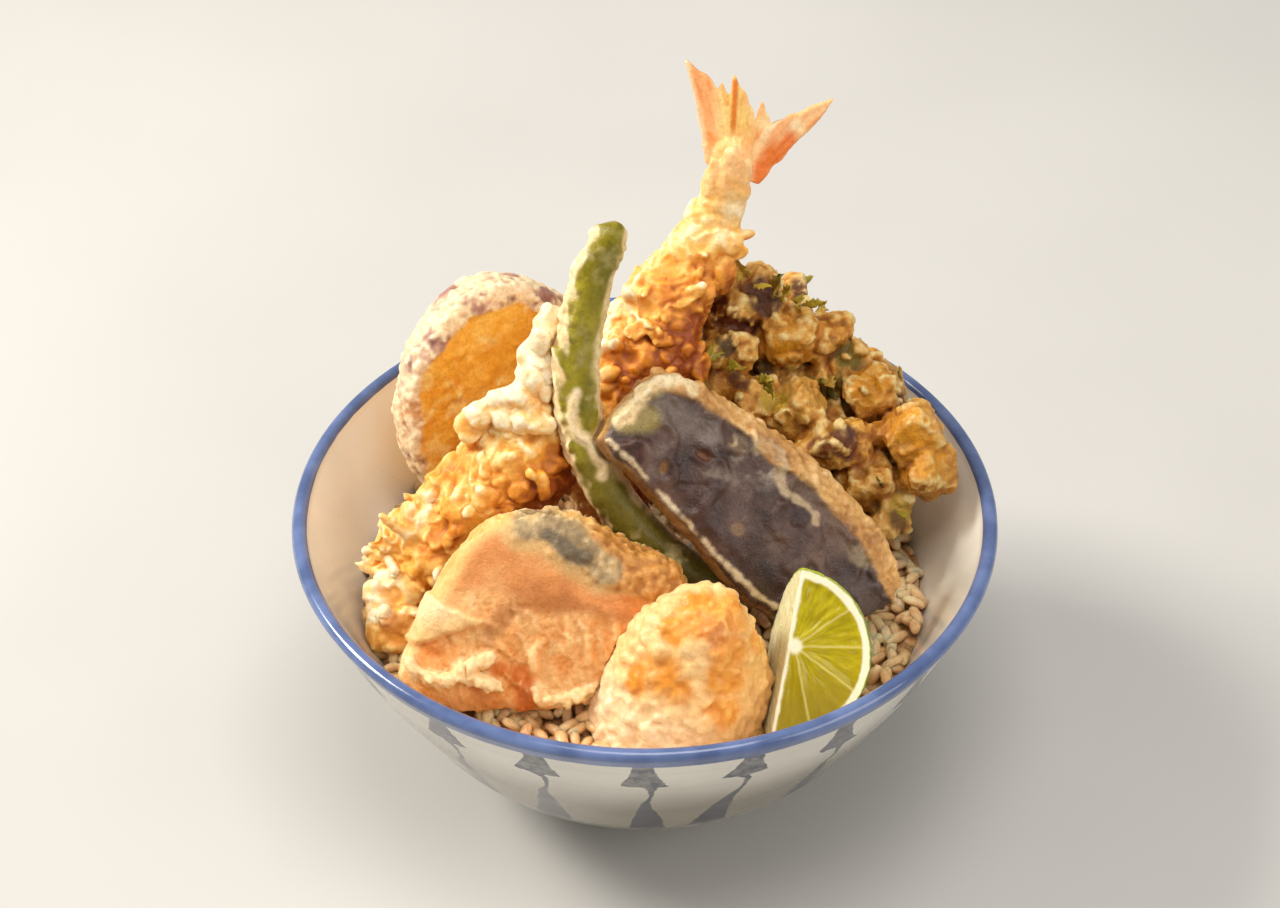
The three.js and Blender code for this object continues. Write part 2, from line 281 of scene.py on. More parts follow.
def hand_over(o, look, slot, *nodes):
    """Gives a finished piece its material and body, and hides the CAD nodes that it stands for; slot is not
    used.
    """
    o.data.materials.append(look)
    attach(o, "root")
    if nodes:
        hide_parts(*nodes)


class Skin:
    """One food's surface: fine, even, and known by its points and normals in millimetres."""

    def __init__(self, name, solid, voxel, soften=2, calm=14):
        rough = new_object(name + "_rough", *solid)
        remesh = ("REMESH", {"mode": "VOXEL", "voxel_size": voxel * MM})
        mesh = with_modifiers(rough, remesh, smoothing(soften))
        bpy.data.objects.remove(rough)
        mesh.name = name
        self.o = bpy.data.objects.new(name, mesh)
        bpy.context.scene.collection.objects.link(self.o)
        self.mesh = mesh
        self.read()
        self.calm(calm)

    def read(self):
        self.p, self.n = points_of(self.mesh), normals_of(self.mesh)

    def calm(self, rounds):
        """Learns the smoothed surface: its normals, and how far the real one stands over it."""
        mesh = with_modifiers(self.o, smoothing(rounds))
        self.calm_n = normals_of(mesh)
        self.relief = np.sum((self.p - points_of(mesh)) * self.calm_n, axis=1)
        bpy.data.meshes.remove(mesh)

    def noise(self, size, octaves=2, salt=0):
        return noise(self.p, size, octaves, salt)

    def push(self, amount):
        """Moves each point along its normal by amount."""
        p = self.p + amount[:, None] * self.n
        self.mesh.vertices.foreach_set("co", (p * MM).ravel())
        self.mesh.update()
        self.read()

    def paint(self, colours):
        paint(self.mesh, colours)

    def finish(self, look, slot, *nodes):
        self.mesh.polygons.foreach_set("use_smooth", [True] * len(self.mesh.polygons))
        self.mesh.materials.clear()
        hand_over(self.o, look, slot, *nodes)


# ---------------------------------------------------------------- materials


class Wire:
    """A node's output, on which plus, minus and times add a Math node."""

    def __init__(self, look, socket):
        self.look, self.socket = look, socket

    def __add__(self, other):
        return self.look.math("ADD", self, other)

    def __sub__(self, other):
        return self.look.math("SUBTRACT", self, other)

    def __rsub__(self, other):
        return self.look.math("SUBTRACT", other, self)

    def __mul__(self, other):
        return self.look.math("MULTIPLY", self, other)

    def times_plus(self, factor, more):
        return self.look.math("MULTIPLY_ADD", self, factor, more)


class Look:
    """A material and short ways to add nodes to it."""

    def __init__(self, name, **shader):
        self.material = bpy.data.materials.new(name)
        self.material.use_nodes = True
        self.tree = self.material.node_tree
        self.shader = self.tree.nodes["Principled BSDF"]
        for key, value in shader.items():
            self.shader.inputs[key.replace("_", " ")].default_value = value

    def node(self, kind, sockets=None, out=0, **settings):
        """Adds a node and returns its output. A socket takes a number, a colour or another node's output."""
        n = self.tree.nodes.new("ShaderNode" + kind)
        for key, value in settings.items():
            setattr(n, key, value)
        for key, value in (sockets or {}).items():
            if isinstance(value, Wire):
                self.tree.links.new(value.socket, n.inputs[key])
            else:
                n.inputs[key].default_value = value
        return Wire(self, n.outputs[out])

    def place(self):
        return self.node("TexCoord", out="Object")

    def axes(self, vector):
        return [self.node("SeparateXYZ", {0: vector}, out=axis) for axis in "XYZ"]

    def math(self, operation, a, b=0.0, c=0.0):
        return self.node("Math", {0: a, 1: b, 2: c}, operation=operation)

    def grain(self, size, detail=2.0):
        """Noise from 0 to 1 with lumps of a size in millimetres."""
        sockets = {"Vector": self.place(), "Scale": 1 / (size * MM), "Detail": detail}
        return self.node("TexNoise", sockets, out="Fac")

    def span(self, value, low, high, to_low=0.0, to_high=1.0, way="SMOOTHSTEP"):
        sockets = {"Value": value, "From Min": low, "From Max": high, "To Min": to_low, "To Max": to_high}
        return self.node("MapRange", sockets, out="Result", interpolation_type=way)

    def mix(self, factor, a, b, way="MIX"):
        a, b = (c if isinstance(c, Wire) else (*c, 1) for c in (a, b))
        return self.node("Mix", {0: factor, 6: a, 7: b}, out=2, data_type="RGBA", blend_type=way)

    def link(self, output, socket):
        self.tree.links.new(output.socket, self.shader.inputs[socket])

    def bump(self, height, distance):
        self.link(self.node("Bump", {"Height": height, "Distance": distance * MM, "Strength": 1.0}), "Normal")


def food_look(name, shade, light, spread, rough, bump, soft=0.0, glow=(1.0, 0.5, 0.25)):
    """A painted food surface. shade and light are what its mottling does to the painted tint, spread is the
    mottling's size in millimetres, rough the span of its roughness, bump its fine grain's height, soft
    how much light goes into it and glow how far each colour of that light gets."""
    look = Look(name, IOR=1.45, Subsurface_Weight=soft, Subsurface_Scale=0.0025, Subsurface_Radius=glow)
    tint = look.node("Attribute", out="Color", attribute_name="tint")
    broad = look.span(look.grain(spread, 3), 0.35, 0.65)
    fine = look.span(look.grain(spread / 3, 2), 0.3, 0.7)
    dark = look.mix(1.0, tint, (shade, shade * 0.93, shade * 0.8), "MULTIPLY")
    pale = look.mix(1.0, tint, (light, light, light), "MULTIPLY")
    look.link(look.mix(fine.times_plus(0.4, broad * 0.6), dark, pale), "Base Color")
    look.link(look.span(look.grain(spread * 1.6, 2), 0.3, 0.7, *rough), "Roughness")
    look.bump(look.grain(spread / 2, 3) + look.grain(spread / 6, 2) * 0.4, bump)
    return look.material


# ---------------------------------------------------------------- bowl

BOWL_HEIGHT = 69.0
RIM_RADIUS = 77.5
WALL = 3.4
LIP_Z = BOWL_HEIGHT - WALL / 2
FOOT_RADIUS = 31.0
FOOT_HEIGHT = 7.0
FOOT_WIDTH = 4.0
FOOT_RECESS = 4.5
INNER_FLOOR = 12.0
# The walls' profiles: radius and height.
OUTER_WALL = [(FOOT_RADIUS, FOOT_HEIGHT), (50, 19), (60, 33.5), (69, 49), (RIM_RADIUS, LIP_Z)]
INNER_WALL = [(22, INNER_FLOOR), (44, 19.5), (55.5, 33.5), (65, 49), (RIM_RADIUS - WALL, LIP_Z)]
BOWL_TURNS = 216


def inner_radius(z):
    wall = along_spline(INNER_WALL, np.linspace(0, 1, 60))
    return np.interp(z, wall[:, 1], wall[:, 0])


def lathe(profile, turns):
    """Closed surface of a profile turned about Z; its first and last points are on the axis."""
    ring = np.array(profile[1:-1])
    angles = np.arange(turns) * 2 * math.pi / turns
    x = np.outer(ring[:, 0], np.cos(angles))
    y = np.outer(ring[:, 0], np.sin(angles))
    z = np.repeat(ring[:, 1:], turns, axis=1)
    points = np.stack([x, y, z], axis=2).reshape(-1, 3)
    ends = [[0, 0, profile[0][1]], [0, 0, profile[-1][1]]]
    faces = []
    for j in range(turns):
        k = (j + 1) % turns
        for i in range(len(ring) - 1):
            a, b = i * turns, (i + 1) * turns
            faces.append((a + j, a + k, b + k, b + j))
        last = (len(ring) - 1) * turns
        faces.append((len(points), k, j))
        faces.append((len(points) + 1, last + j, last + k))
    return np.concatenate([points, ends]), faces


def make_bowl():
    outer = [tuple(q) for q in along_spline(OUTER_WALL, np.linspace(0, 1, 46))]
    inner = [tuple(q) for q in along_spline(INNER_WALL, np.linspace(1, 0, 40))]
    lip = []
    for turn in np.linspace(0, math.pi, 13)[1:-1]:
        lip.append((RIM_RADIUS - WALL / 2 * (1 - math.cos(turn)), LIP_Z + WALL / 2 * math.sin(turn)))
    inside_foot = FOOT_RADIUS - FOOT_WIDTH
    foot = [(0, FOOT_RECESS), (inside_foot - 3, FOOT_RECESS), (inside_foot - 0.6, 3.9),
            (inside_foot, 3), (inside_foot + 0.2, 0.9), (inside_foot + 1, 0), (FOOT_RADIUS - 1, 0),
            (FOOT_RADIUS - 0.2, 0.9), (FOOT_RADIUS, 2.5), (FOOT_RADIUS, FOOT_HEIGHT - 1)]
    profile = foot + outer + lip + inner + [(0, INNER_FLOOR)]
    points, faces = lathe(profile, BOWL_TURNS)
    ripple = 0.07 * noise(points, 26, 2, 5)
    radius = np.maximum(np.hypot(points[:, 0], points[:, 1]), 1e-6)
    turning = 0.05 * np.sin(points[:, 2] * 1.9) * step(8, 14, points[:, 2]) * step(66, 60, points[:, 2])
    points[:, :2] *= (1 + (ripple - np.abs(turning)) / radius)[:, None]
    o = new_object("glazed_bowl", points, faces)
    share = [1.0] * (len(foot) - 1 + len(outer)) + list(np.linspace(1, 0, len(lip))) + [0.0] * len(inner)
    layer = o.data.attributes.new("outside", "FLOAT", "POINT")
    layer.data.foreach_set("value", np.concatenate([np.repeat(share, BOWL_TURNS), [1.0, 0.0]]))
    hand_over(o, bowl_look(), "bowl_glaze", "bowl")


# Each brush stroke hangs from the band: (height, half width) down a column of bells.
BELLS = [(65.0, 2.3), (62.0, 2.5), (59.0, 3.3), (56.0, 4.5), (54.4, 5.0), (54.0, 1.5), (52.0, 0.8),
         (49.0, 0.5), (46.5, 0.5), (44.5, 0.9), (40.0, 1.6), (35.0, 2.4), (30.0, 3.2), (25.0, 3.9),
         (23.5, 4.0), (23.2, 0.8), (21.0, 0.4), (19.5, 0.0)]
BELLS_LOW, BELLS_HIGH, BELLS_WIDEST = 14.0, 68.0, 6.0  # what their curve spans
COLUMNS = 21
STRAIGHT_AT = 58  # the height at which a leaning stroke stands in its place


def bowl_look():
    look = Look("bowl_glaze", IOR=1.5, Roughness=0.16, Coat_Weight=0.25, Coat_Roughness=0.05)
    x, y, height = (axis * (1 / MM) for axis in look.axes(look.place()))
    radius = look.math("SQRT", x * x + y * y)
    wobble, tremble = look.grain(7, 2) - 0.5, look.grain(1.6, 3) - 0.5

    # which column, and how far from its middle in millimetres
    turn = look.math("ARCTAN2", x, y * -1).times_plus(COLUMNS / (2 * math.pi), 0.55)
    column = look.math("FLOOR", turn)
    luck, more_luck = (look.node("TexWhiteNoise", {"W": seed}, out="Value", noise_dimensions="1D")
                       for seed in (column, column + 40.5))
    aside = (turn - column - 0.5) * (radius * (2 * math.pi / COLUMNS))
    slant = (STRAIGHT_AT - height) * ((luck - 0.5) * 0.26)
    shift = (more_luck - 0.5) * 1.6
    swing = look.span(height, 55, 53) * look.span(height, 43, 49, 0, 1.5)
    aside = aside - slant - shift - swing + wobble.times_plus(1.6, tremble * 0.9)
    fall = tremble.times_plus(1.2, (luck - 0.5).times_plus(3.0, height))

    # the bells' half width at this height
    bells = look.node("ValToRGB", {0: look.span(fall, BELLS_LOW, BELLS_HIGH, way="LINEAR")}, out="Color")
    stops = bells.socket.node.color_ramp.elements
    stops.remove(stops[1])
    for n, (z, half) in enumerate(reversed(BELLS)):
        at = (z - BELLS_LOW) / (BELLS_HIGH - BELLS_LOW)
        stop = stops[0] if n == 0 else stops.new(at)
        stop.position = at
        stop.color = (*[half / BELLS_WIDEST] * 3, 1)
    stroke = look.span(bells * BELLS_WIDEST - look.math("ABSOLUTE", aside), -0.12, 0.22)
    outside = look.node("Attribute", out="Fac", attribute_name="outside")
    stroke = stroke * outside * look.span(look.grain(2.2, 3), 0.3, 0.75, 0.72, 1.0)

    # band on the lip, lower outside than inside, and a thin line round the foot
    band = look.span(wobble.times_plus(0.7, height) - outside.times_plus(-3.3, 67.8), -0.15, 0.2)
    foot_line = look.span(height, 7.6, 8.2) * look.span(height, 9.9, 9.2) * outside * 0.85

    # glaze: warm white in patches, with fine specks and the wheel's rings; down the outside it is painted
    # greyer and darker, painted shade on the lower wall
    tone = look.span(look.grain(24, 3), 0.3, 0.7)
    glaze = look.mix(tone, srgb(232, 226, 212), srgb(240, 236, 226))
    # painted shade: the outside greyer than the inside, and darker still from 59 mm down to 36 mm
    body = look.mix(tone, srgb(214, 209, 197), srgb(226, 221, 210))
    body = look.mix(look.span(height, 59, 36), body, look.mix(tone, srgb(138, 131, 115), srgb(152, 144, 127)))
    glaze = look.mix(outside, glaze, body)
    speck = look.span(look.grain(0.7, 1), 0.74, 0.80, 0, 0.35)
    glaze = look.mix(speck, glaze, srgb(170, 155, 130))
    rings = look.math("SINE", wobble.times_plus(1.2, height * 0.75))
    ring = look.span(rings, 0.93, 1.0, 0, 0.10) * outside
    glaze = look.mix(ring, glaze, srgb(150, 145, 140))
    ink = look.mix(look.span(look.grain(3.5, 3), 0.3, 0.7), srgb(20, 26, 48), srgb(38, 46, 76))
    band_ink = look.mix(look.span(look.grain(9, 3), 0.3, 0.7), srgb(72, 90, 134), srgb(100, 119, 166))
    colour = look.mix(stroke, glaze, ink)
    colour = look.mix(foot_line, colour, ink)
    colour = look.mix(band, colour, band_ink)
    bare = look.span(height, 0.9, 0.5)
    look.link(look.mix(bare, colour, srgb(186, 170, 146)), "Base Color")
    look.link(bare.times_plus(0.5, look.span(look.grain(18, 2), 0.3, 0.7, 0.10, 0.22)), "Roughness")
    look.bump(look.grain(12, 2) + look.grain(1.2, 2) * 0.06, 0.12)
    return look.material


# ---------------------------------------------------------------- rice

RICE_EDGE = 46.0
RICE_CROWN = 52.0
RICE_LAYERS = ((0.0, 2600), (-1.9, 1300))  # height over the rice's top, and grains tried
GRAIN_SPACING = 1.95
GRAIN_LENGTH, GRAIN_WIDTH = 3.1, 1.35  # half sizes of a cooked grain
CORE_DEPTH = 1.6  # how far the core's top lies under the rice's
CORE_WALL = 8.0  # how far down the core's sides reach


def rice_height(x, y):
    radius = np.hypot(x, y) / inner_radius(RICE_EDGE)
    p = np.stack([x, y, np.zeros_like(x)], axis=1)
    crown = (RICE_CROWN - RICE_EDGE) * np.cos(np.clip(radius, 0, 1) * math.pi / 2)
    return RICE_EDGE + crown + noise(p, 11, 2, 3)


def rice_grain():
    """A short fat grain, a little bent, with a dent at one end."""
    points, faces = [(-1.0, 0.0, 0.0)], []
    sides, rings = 8, 5
    for i in range(1, rings + 1):
        t = -math.cos(math.pi * i / (rings + 1))
        reach = math.sin(math.pi * i / (rings + 1)) ** 0.75
        for j in range(sides):
            a = 2 * math.pi * j / sides
            points.append((t, reach * math.cos(a), reach * math.sin(a) + 0.22 * (1 - t * t) - 0.1))
    points.append((0.93, 0.1, 0.05))
    for j in range(sides):
        k = (j + 1) % sides
        faces.append((0, 1 + k, 1 + j))
        for i in range(rings - 1):
            a, b = 1 + i * sides, 1 + (i + 1) * sides
            faces.append((a + j, a + k, b + k))
            faces.append((a + j, b + k, b + j))
        last = 1 + (rings - 1) * sides
        faces.append((last + j, last + k, len(points) - 1))
    return np.array(points), faces


def make_rice():
    """Loose grains where no food lies, over a core that closes the gaps between them."""
    rng = np.random.default_rng(7)
    foods = [BVHTree.FromPolygons(*solid_of(n)) for n in NODES if n not in ("bowl", "rice")]
    origins = []
    for layer, count in RICE_LAYERS:
        radius = inner_radius(RICE_EDGE) * np.sqrt(rng.random(count)) - 1.6
        angle = rng.uniform(0, 2 * math.pi, count)
        x, y = radius * np.cos(angle), radius * np.sin(angle)
        origins.append(np.stack([x, y, rice_height(x, y) + layer + rng.normal(0, 0.6, count)], axis=1))
    origins = np.concatenate(origins)
    kept = [i for i in spots(rng, origins, 1.0, GRAIN_SPACING) if not buried(foods, origins[i], 1.2)]
    origins = origins[kept]
    normals = unit(np.stack([origins[:, 0] * 0.004, origins[:, 1] * 0.004, np.ones(len(kept))], axis=1)
                   + rng.normal(0, 0.35, (len(kept), 3)))
    size = rng.uniform(0.86, 1.1, (len(kept), 3)) * [GRAIN_LENGTH, GRAIN_WIDTH, GRAIN_WIDTH * 0.92]
    points, faces = copies(rice_grain(), origins, frames_on(rng, normals, size, 0.35))
    points = points + 0.12 * noise(points, 1.6, 1, 8)[:, None] * UP
    o = new_object("rice_grains", points, faces)
    own = np.repeat(rng.random(len(kept)), len(points) // len(kept))
    # painted shade: grains that lie lower among the others are darker
    deep = step(-1.5, 1.6, points[:, 2] - rice_height(points[:, 0], points[:, 1]))
    colours = blend(srgb(180, 134, 84), srgb(246, 222, 180), 0.25 * own + 0.75 * deep)
    sauce = step(-0.3, 0.8, noise(points, 12, 3, 21)) * 0.5
    colours = blend(colours, srgb(206, 144, 80), sauce)
    paint(o.data, colours)
    hand_over(o, RICE_LOOK, "cooked_rice", "rice")

    radii = np.linspace(0, inner_radius(RICE_EDGE) - 1.2, 34)[1:]
    heights = RICE_EDGE - CORE_DEPTH + 6 * np.cos(radii / radii[-1] * 1.57)
    bottom = RICE_EDGE - CORE_WALL
    top = list(zip(radii.tolist(), heights.tolist())) + [(float(inner_radius(bottom)) - 1.0, bottom)]
    points, faces = lathe([(0, RICE_CROWN - CORE_DEPTH)] + top + [(0, bottom)], 96)
    points[:, 2] += 0.9 * noise(points, 4, 2, 9) * (points[:, 2] > RICE_EDGE - 5)
    core = new_object("rice_core", points, faces)
    # the core, seen in the gaps between the grains, is painted darker: painted shade
    paint(core.data, blend(srgb(150, 112, 70), srgb(196, 164, 120), 0.5 + 0.5 * noise(points, 3, 2, 4)))
    hand_over(core, RICE_LOOK, "cooked_rice")


def buried(trees, point, depth):
    """True if the point is deeper than depth inside one of the solids."""
    for tree in trees:
        near, normal, _, distance = tree.find_nearest(Vector(point))
        if near is not None and distance > depth and (Vector(point) - near).dot(normal) < 0:
            return True
    return False


RICE_LOOK = food_look("rice", shade=0.88, light=1.06, spread=1.2, rough=(0.18, 0.34), bump=0.05, soft=0.6)


# ---------------------------------------------------------------- batter


def line_distance(q, line):
    """How far each point is from the line through the given ones."""
    best = np.full(len(q), 1e9)
    for a, b in zip(line[:-1], line[1:]):
        a, b = np.array(a, float), np.array(b, float)
        t = np.clip((q - a) @ (b - a) / np.sum((b - a) ** 2), 0, 1)
        best = np.minimum(best, np.linalg.norm(q - a - t[:, None] * (b - a), axis=1))
    return best


def flake_shape():
    """A thin bent petal, pointed at one end."""
    points, faces = ball(3)
    x, y, z = points.T
    narrow = np.sqrt(np.clip(1 - 0.75 * np.clip(x, -1, 1) ** 2 * (x > 0), 0, 1))
    bend = 0.9 * x * x + 0.5 * y * y
    return np.stack([x, y * narrow, z + bend], axis=1), faces


FLAKE = flake_shape()


def strand(points, radii, close=0.55):
    """A soft thread of the given radii along a smooth line."""
    length = np.sum(np.linalg.norm(np.diff(np.array(points, float), axis=0), axis=1))
    count = max(int(length / (close * min(radii))), 4)
    t = np.linspace(0, 1, count)
    centres = along_spline(points, t)
    radius = np.interp(t, np.linspace(0, 1, len(radii)), radii)
    return copies(BALL, centres, radius[:, None, None] * np.eye(3))


class Base:
    """A CAD solid's surface as even points, drawn in a little, and the lumps that are set on it."""

    def __init__(self, node, seed, spacing=0.8, inset=lambda p: 0.0 * p[:, :1]):
        self.rng = np.random.default_rng(seed)
        skin = Skin(node + "_base", solid_of(node), spacing, 4, 4)
        self.n = skin.calm_n
        self.p = skin.p - inset(skin.p) * self.n
        self.parts = [(self.p, [tuple(f.vertices) for f in skin.mesh.polygons])]
        bpy.data.meshes.remove(skin.mesh)

    def add(self, shape, chance, spacing, small, large, lean=0.0, sink=0.3):
        """Sets copies of shape where chance allows; small and large bound their half sizes."""
        kept = spots(self.rng, self.p, chance * np.ones(len(self.p)), spacing)
        if not len(kept):
            return
        size = self.rng.uniform(small, large, (len(kept), 3)) * self.rng.uniform(0.75, 1.2, (len(kept), 1))
        at = self.p[kept] - sink * size[:, 2:] * self.n[kept]
        self.parts.append(copies(shape, at, frames_on(self.rng, self.n[kept], size, lean)))

    def single(self, shape, lift, *rows):
        """Sets single shapes, each a place near the surface, the way its tip points and its half sizes."""
        for place, heading, size in rows:
            nearest = int(np.argmin(np.sum((self.p - place) ** 2, axis=1)))
            front = unit(np.array(heading, float))
            side = unit(np.cross(self.n[nearest], front))
            axes = np.stack([front, side, np.cross(front, side)], axis=1) * size
            at = self.p[nearest : nearest + 1] + lift * self.n[nearest]
            self.parts.append(copies(shape, at, axes[None]))

    def threads(self, *rows):
        """Adds strands of batter, each a (line, radii)."""
        self.parts.extend(strand(line, radii) for line, radii in rows)

    def snap(self, points, lift=0.0):
        """The nearest places on the surface to some points."""
        nearest = [int(np.argmin(np.sum((self.p - q) ** 2, axis=1))) for q in np.array(points, float)]
        return self.p[nearest] + lift * self.n[nearest]

    def skinned(self, name, voxel, soften=2, calm=14):
        return Skin(name, together(*self.parts), voxel, soften, calm)


# Batter from its hollows to its peaks: burnt, amber, gold, pale gold and cream; the hollows' deep gold is
# partly painted shade and glow, the peaks' cream partly painted highlight.
BATTER = ((-1.9, 158, 74, 16), (-1.0, 224, 142, 44), (-0.25, 244, 184, 88), (0.35, 250, 212, 142),
          (0.95, 254, 238, 206))
GLOW = srgb(240, 168, 52)  # a painted glow of light through the batter where it is thin


def crust(skin, tones, shade_and_tone=0.0, salt=0, reach=0.8):
    """Batter's colours, from the tone of its hollows to that of its peaks, with a painted glow where it is
    thin; the third argument moves them to the deeper: painted shade where positive, painted light where
    negative.
    """
    skin.calm(10)
    fine = skin.relief / (0.4 * reach)
    skin.calm(50)
    rise = 0.7 * skin.relief / reach + 0.3 * fine
    patchy = 0.5 * skin.noise(7, 3, salt) + 0.2 * skin.noise(1.6, 2, salt + 1)
    colours = ramp(rise + patchy - shade_and_tone, *tones)
    # painted glow: where the batter is thin, light seems to shine through it
    thin = step(0.0, 0.8, skin.noise(4.5, 2, salt + 2)) * step(1.0, 0.2, rise + patchy)
    return blend(colours, GLOW, 0.55 * thin * step(-1.6, -0.4, rise + patchy - shade_and_tone))


def crisp(p, size, height, salt):
    """The height of fried batter over points: folds about size apart, with crumbs on them here and there."""
    askew = np.stack([noise(p, size, 2, salt + k) for k in (1, 2, 3)], axis=1)
    q = p + 0.35 * size * askew
    folds = 0.45 - np.abs(noise(q, size, 2, salt + 5))
    near, own = cells(q, 0.42 * size, salt + 4)
    crumbs = own * np.clip(1 - 1.5 * near * near, 0, 1) * step(-0.2, 0.5, noise(p, 1.7 * size, 2, salt + 7))
    return height * (1.1 * folds + 0.75 * crumbs + 0.6 * noise(p, 1.9 * size, 2, salt + 8))


def batter_look(name, soft=0.45, bump=0.16):
    return food_look(name, 0.86, 1.06, 1.2, (0.32, 0.6), bump, soft, (1.0, 0.6, 0.25))


BATTER_LOOK = batter_look("batter")


# ---------------------------------------------------------------- shrimps


def make_upright_shrimp():
    base = Base("upright_shrimp", 11, inset=lambda p: 0.6 + 1.3 * step(106, 116, p[:, 2:]))
    low = step(124, 104, base.p[:, 2])
    base.add(BALL, 0.03 * low, 6.5, (2.4, 1.8, 0.9), (4.6, 2.6, 1.5), 0.3, 0.5)
    base.add(BALL, 0.03 * low, 3.6, (1.4, 1.0, 0.8), (2.6, 1.6, 1.2), 0.4, 0.3)
    base.add(FLAKE, 0.03 * low, 5.0, (1.6, 0.9, 0.4), (2.8, 1.5, 0.55), 0.8, 0.2)
    base.single(FLAKE, 1.0, ([-2.8, 22.7, 108.4], [0.4, -0.3, -0.8], [3.2, 1.8, 0.8]),
                ([-0.7, 18.3, 103.9], [0.8, -0.1, 0.5], [3.8, 2.1, 0.9]),
                ([-6.2, 16.4, 100.2], [-0.4, -0.2, 0.9], [3.0, 1.4, 0.7]),
                ([3.5, 17.0, 102.5], [0.9, -0.2, -0.4], [2.8, 1.6, 0.7]),
                ([19.3, 32, 115.4], [0.9, 0, -0.1], [4.0, 2.2, 1.1]))
    base.single(BALL, 0.6, ([18.5, 30.4, 118.2], [0.8, 0, -0.3], [3.8, 2.7, 1.5]),
                ([20.6, 34, 117.4], [0.95, 0, 0.25], [5.0, 1.9, 1.3]),
                ([17.6, 29.5, 110.5], [0.1, 0, 1.0], [4.6, 3.0, 2.0]),
                ([11.2, 19.0, 91.5], [0.3, 0.3, 0.9], [5.0, 3.4, 2.4]),
                ([12.3, 25.8, 113.9], [0.3, 0, 0.9], [2.6, 1.6, 1.1]),
                ([10.9, 23.1, 110.6], [0.7, 0, 0.6], [2.8, 1.7, 1.2]),
                ([-8.5, 16.5, 98.0], [0.2, 0, 1.0], [4.0, 2.2, 1.5]),
                ([-6.8, 14.0, 95.0], [0.7, 0, 0.4], [2.8, 1.7, 1.2]))
    # the batter that hides the fan's root
    base.threads(([(15.5, 38, 119), (17.6, 39, 125), (18.3, 39.8, 129.5)], [6.0, 5.3, 4.9]),
                 ([(15.4, 38.4, 127), (15.0, 38.6, 134)], [3.4, 1.2]),
                 ([(17.8, 38.4, 128), (18.6, 38.6, 136)], [4.0, 1.6]),
                 ([(20.0, 38.0, 127), (21.8, 38.0, 134)], [3.4, 1.2]))
    skin = base.skinned("upright_shrimp_batter", 0.46, 4)
    q = skin.p
    rugged = step(128, 108, q[:, 2])
    skin.push((0.35 + 0.65 * rugged) * crisp(q, 4.2, 1.0, 41) + 0.1 * noise(q, 1.3, 2, 42))
    q, m = skin.p, skin.n
    # painted light and shade, with some of the batter's own tone: the right-facing side and the lower part go
    # deeper, the left side and the top paler, and one round patch deeper
    rightward = 0.85 * m[:, 0] - 0.25 * m[:, 2] + 0.25 * noise(q, 11, 2, 5)
    shade_and_tone = 0.6 * step(-0.2, 0.8, rightward) * step(124, 114, q[:, 2]) - 0.35 * step(0.1, 0.9, -rightward)
    shade_and_tone += 1.1 * step(112, 96, q[:, 2] - 0.5 * q[:, 0]) + 0.35 * step(112, 100, q[:, 2])
    shade_and_tone -= 1.1 * step(-5, -9, q[:, 0]) + 0.3 * step(114, 124, q[:, 2])
    shade_and_tone += 0.8 * step(7.0, 3.0, np.linalg.norm(q - [3.3, 22.7, 111.2], axis=1) + noise(q, 4, 2, 14))
    colours = crust(skin, BATTER, shade_and_tone, 61)
    skin.paint(blend(colours, srgb(250, 202, 148), 0.7 * step(125, 133, q[:, 2] + 2 * noise(q, 3, 2, 6))))
    skin.finish(BATTER_LOOK, "shrimp_batter", "upright_shrimp")


# Batter that ran off the leaning shrimp and set: each thread's line and its radii.
LOOSE_BATTER = [
    ([(-38, -3, 91.5), (-37.4, -3, 96), (-34.3, -3, 98.6), (-30.8, -3, 100.6), (-27.5, -3, 102),
      (-24.5, -4, 100)],
     [1.6, 2.4, 2.3, 2.2, 2.6, 2.6]),
    ([(-37.6, -3, 92.5), (-37.2, -4.5, 86)], [1.4, 0.8]),
    ([(-34.6, -3, 97), (-34.8, -4, 92), (-34, -5, 88)], [1.8, 1.4, 1.2]),
    ([(-49.5, -11, 68.5), (-53.5, -11.5, 72.5), (-57, -11.5, 76)], [2.2, 1.2, 0.6]),
    ([(-53, -10, 64.5), (-57.5, -10.5, 67), (-60, -11, 67.5)], [2.0, 1.1, 0.6]),
    ([(-56, -11, 58.5), (-60, -11, 60.3), (-63.4, -11, 62)], [1.8, 1.0, 0.5]),
    ([(-22.2, -12.6, 88), (-21.4, -13.4, 83.5)], [1.5, 1.3]),
]


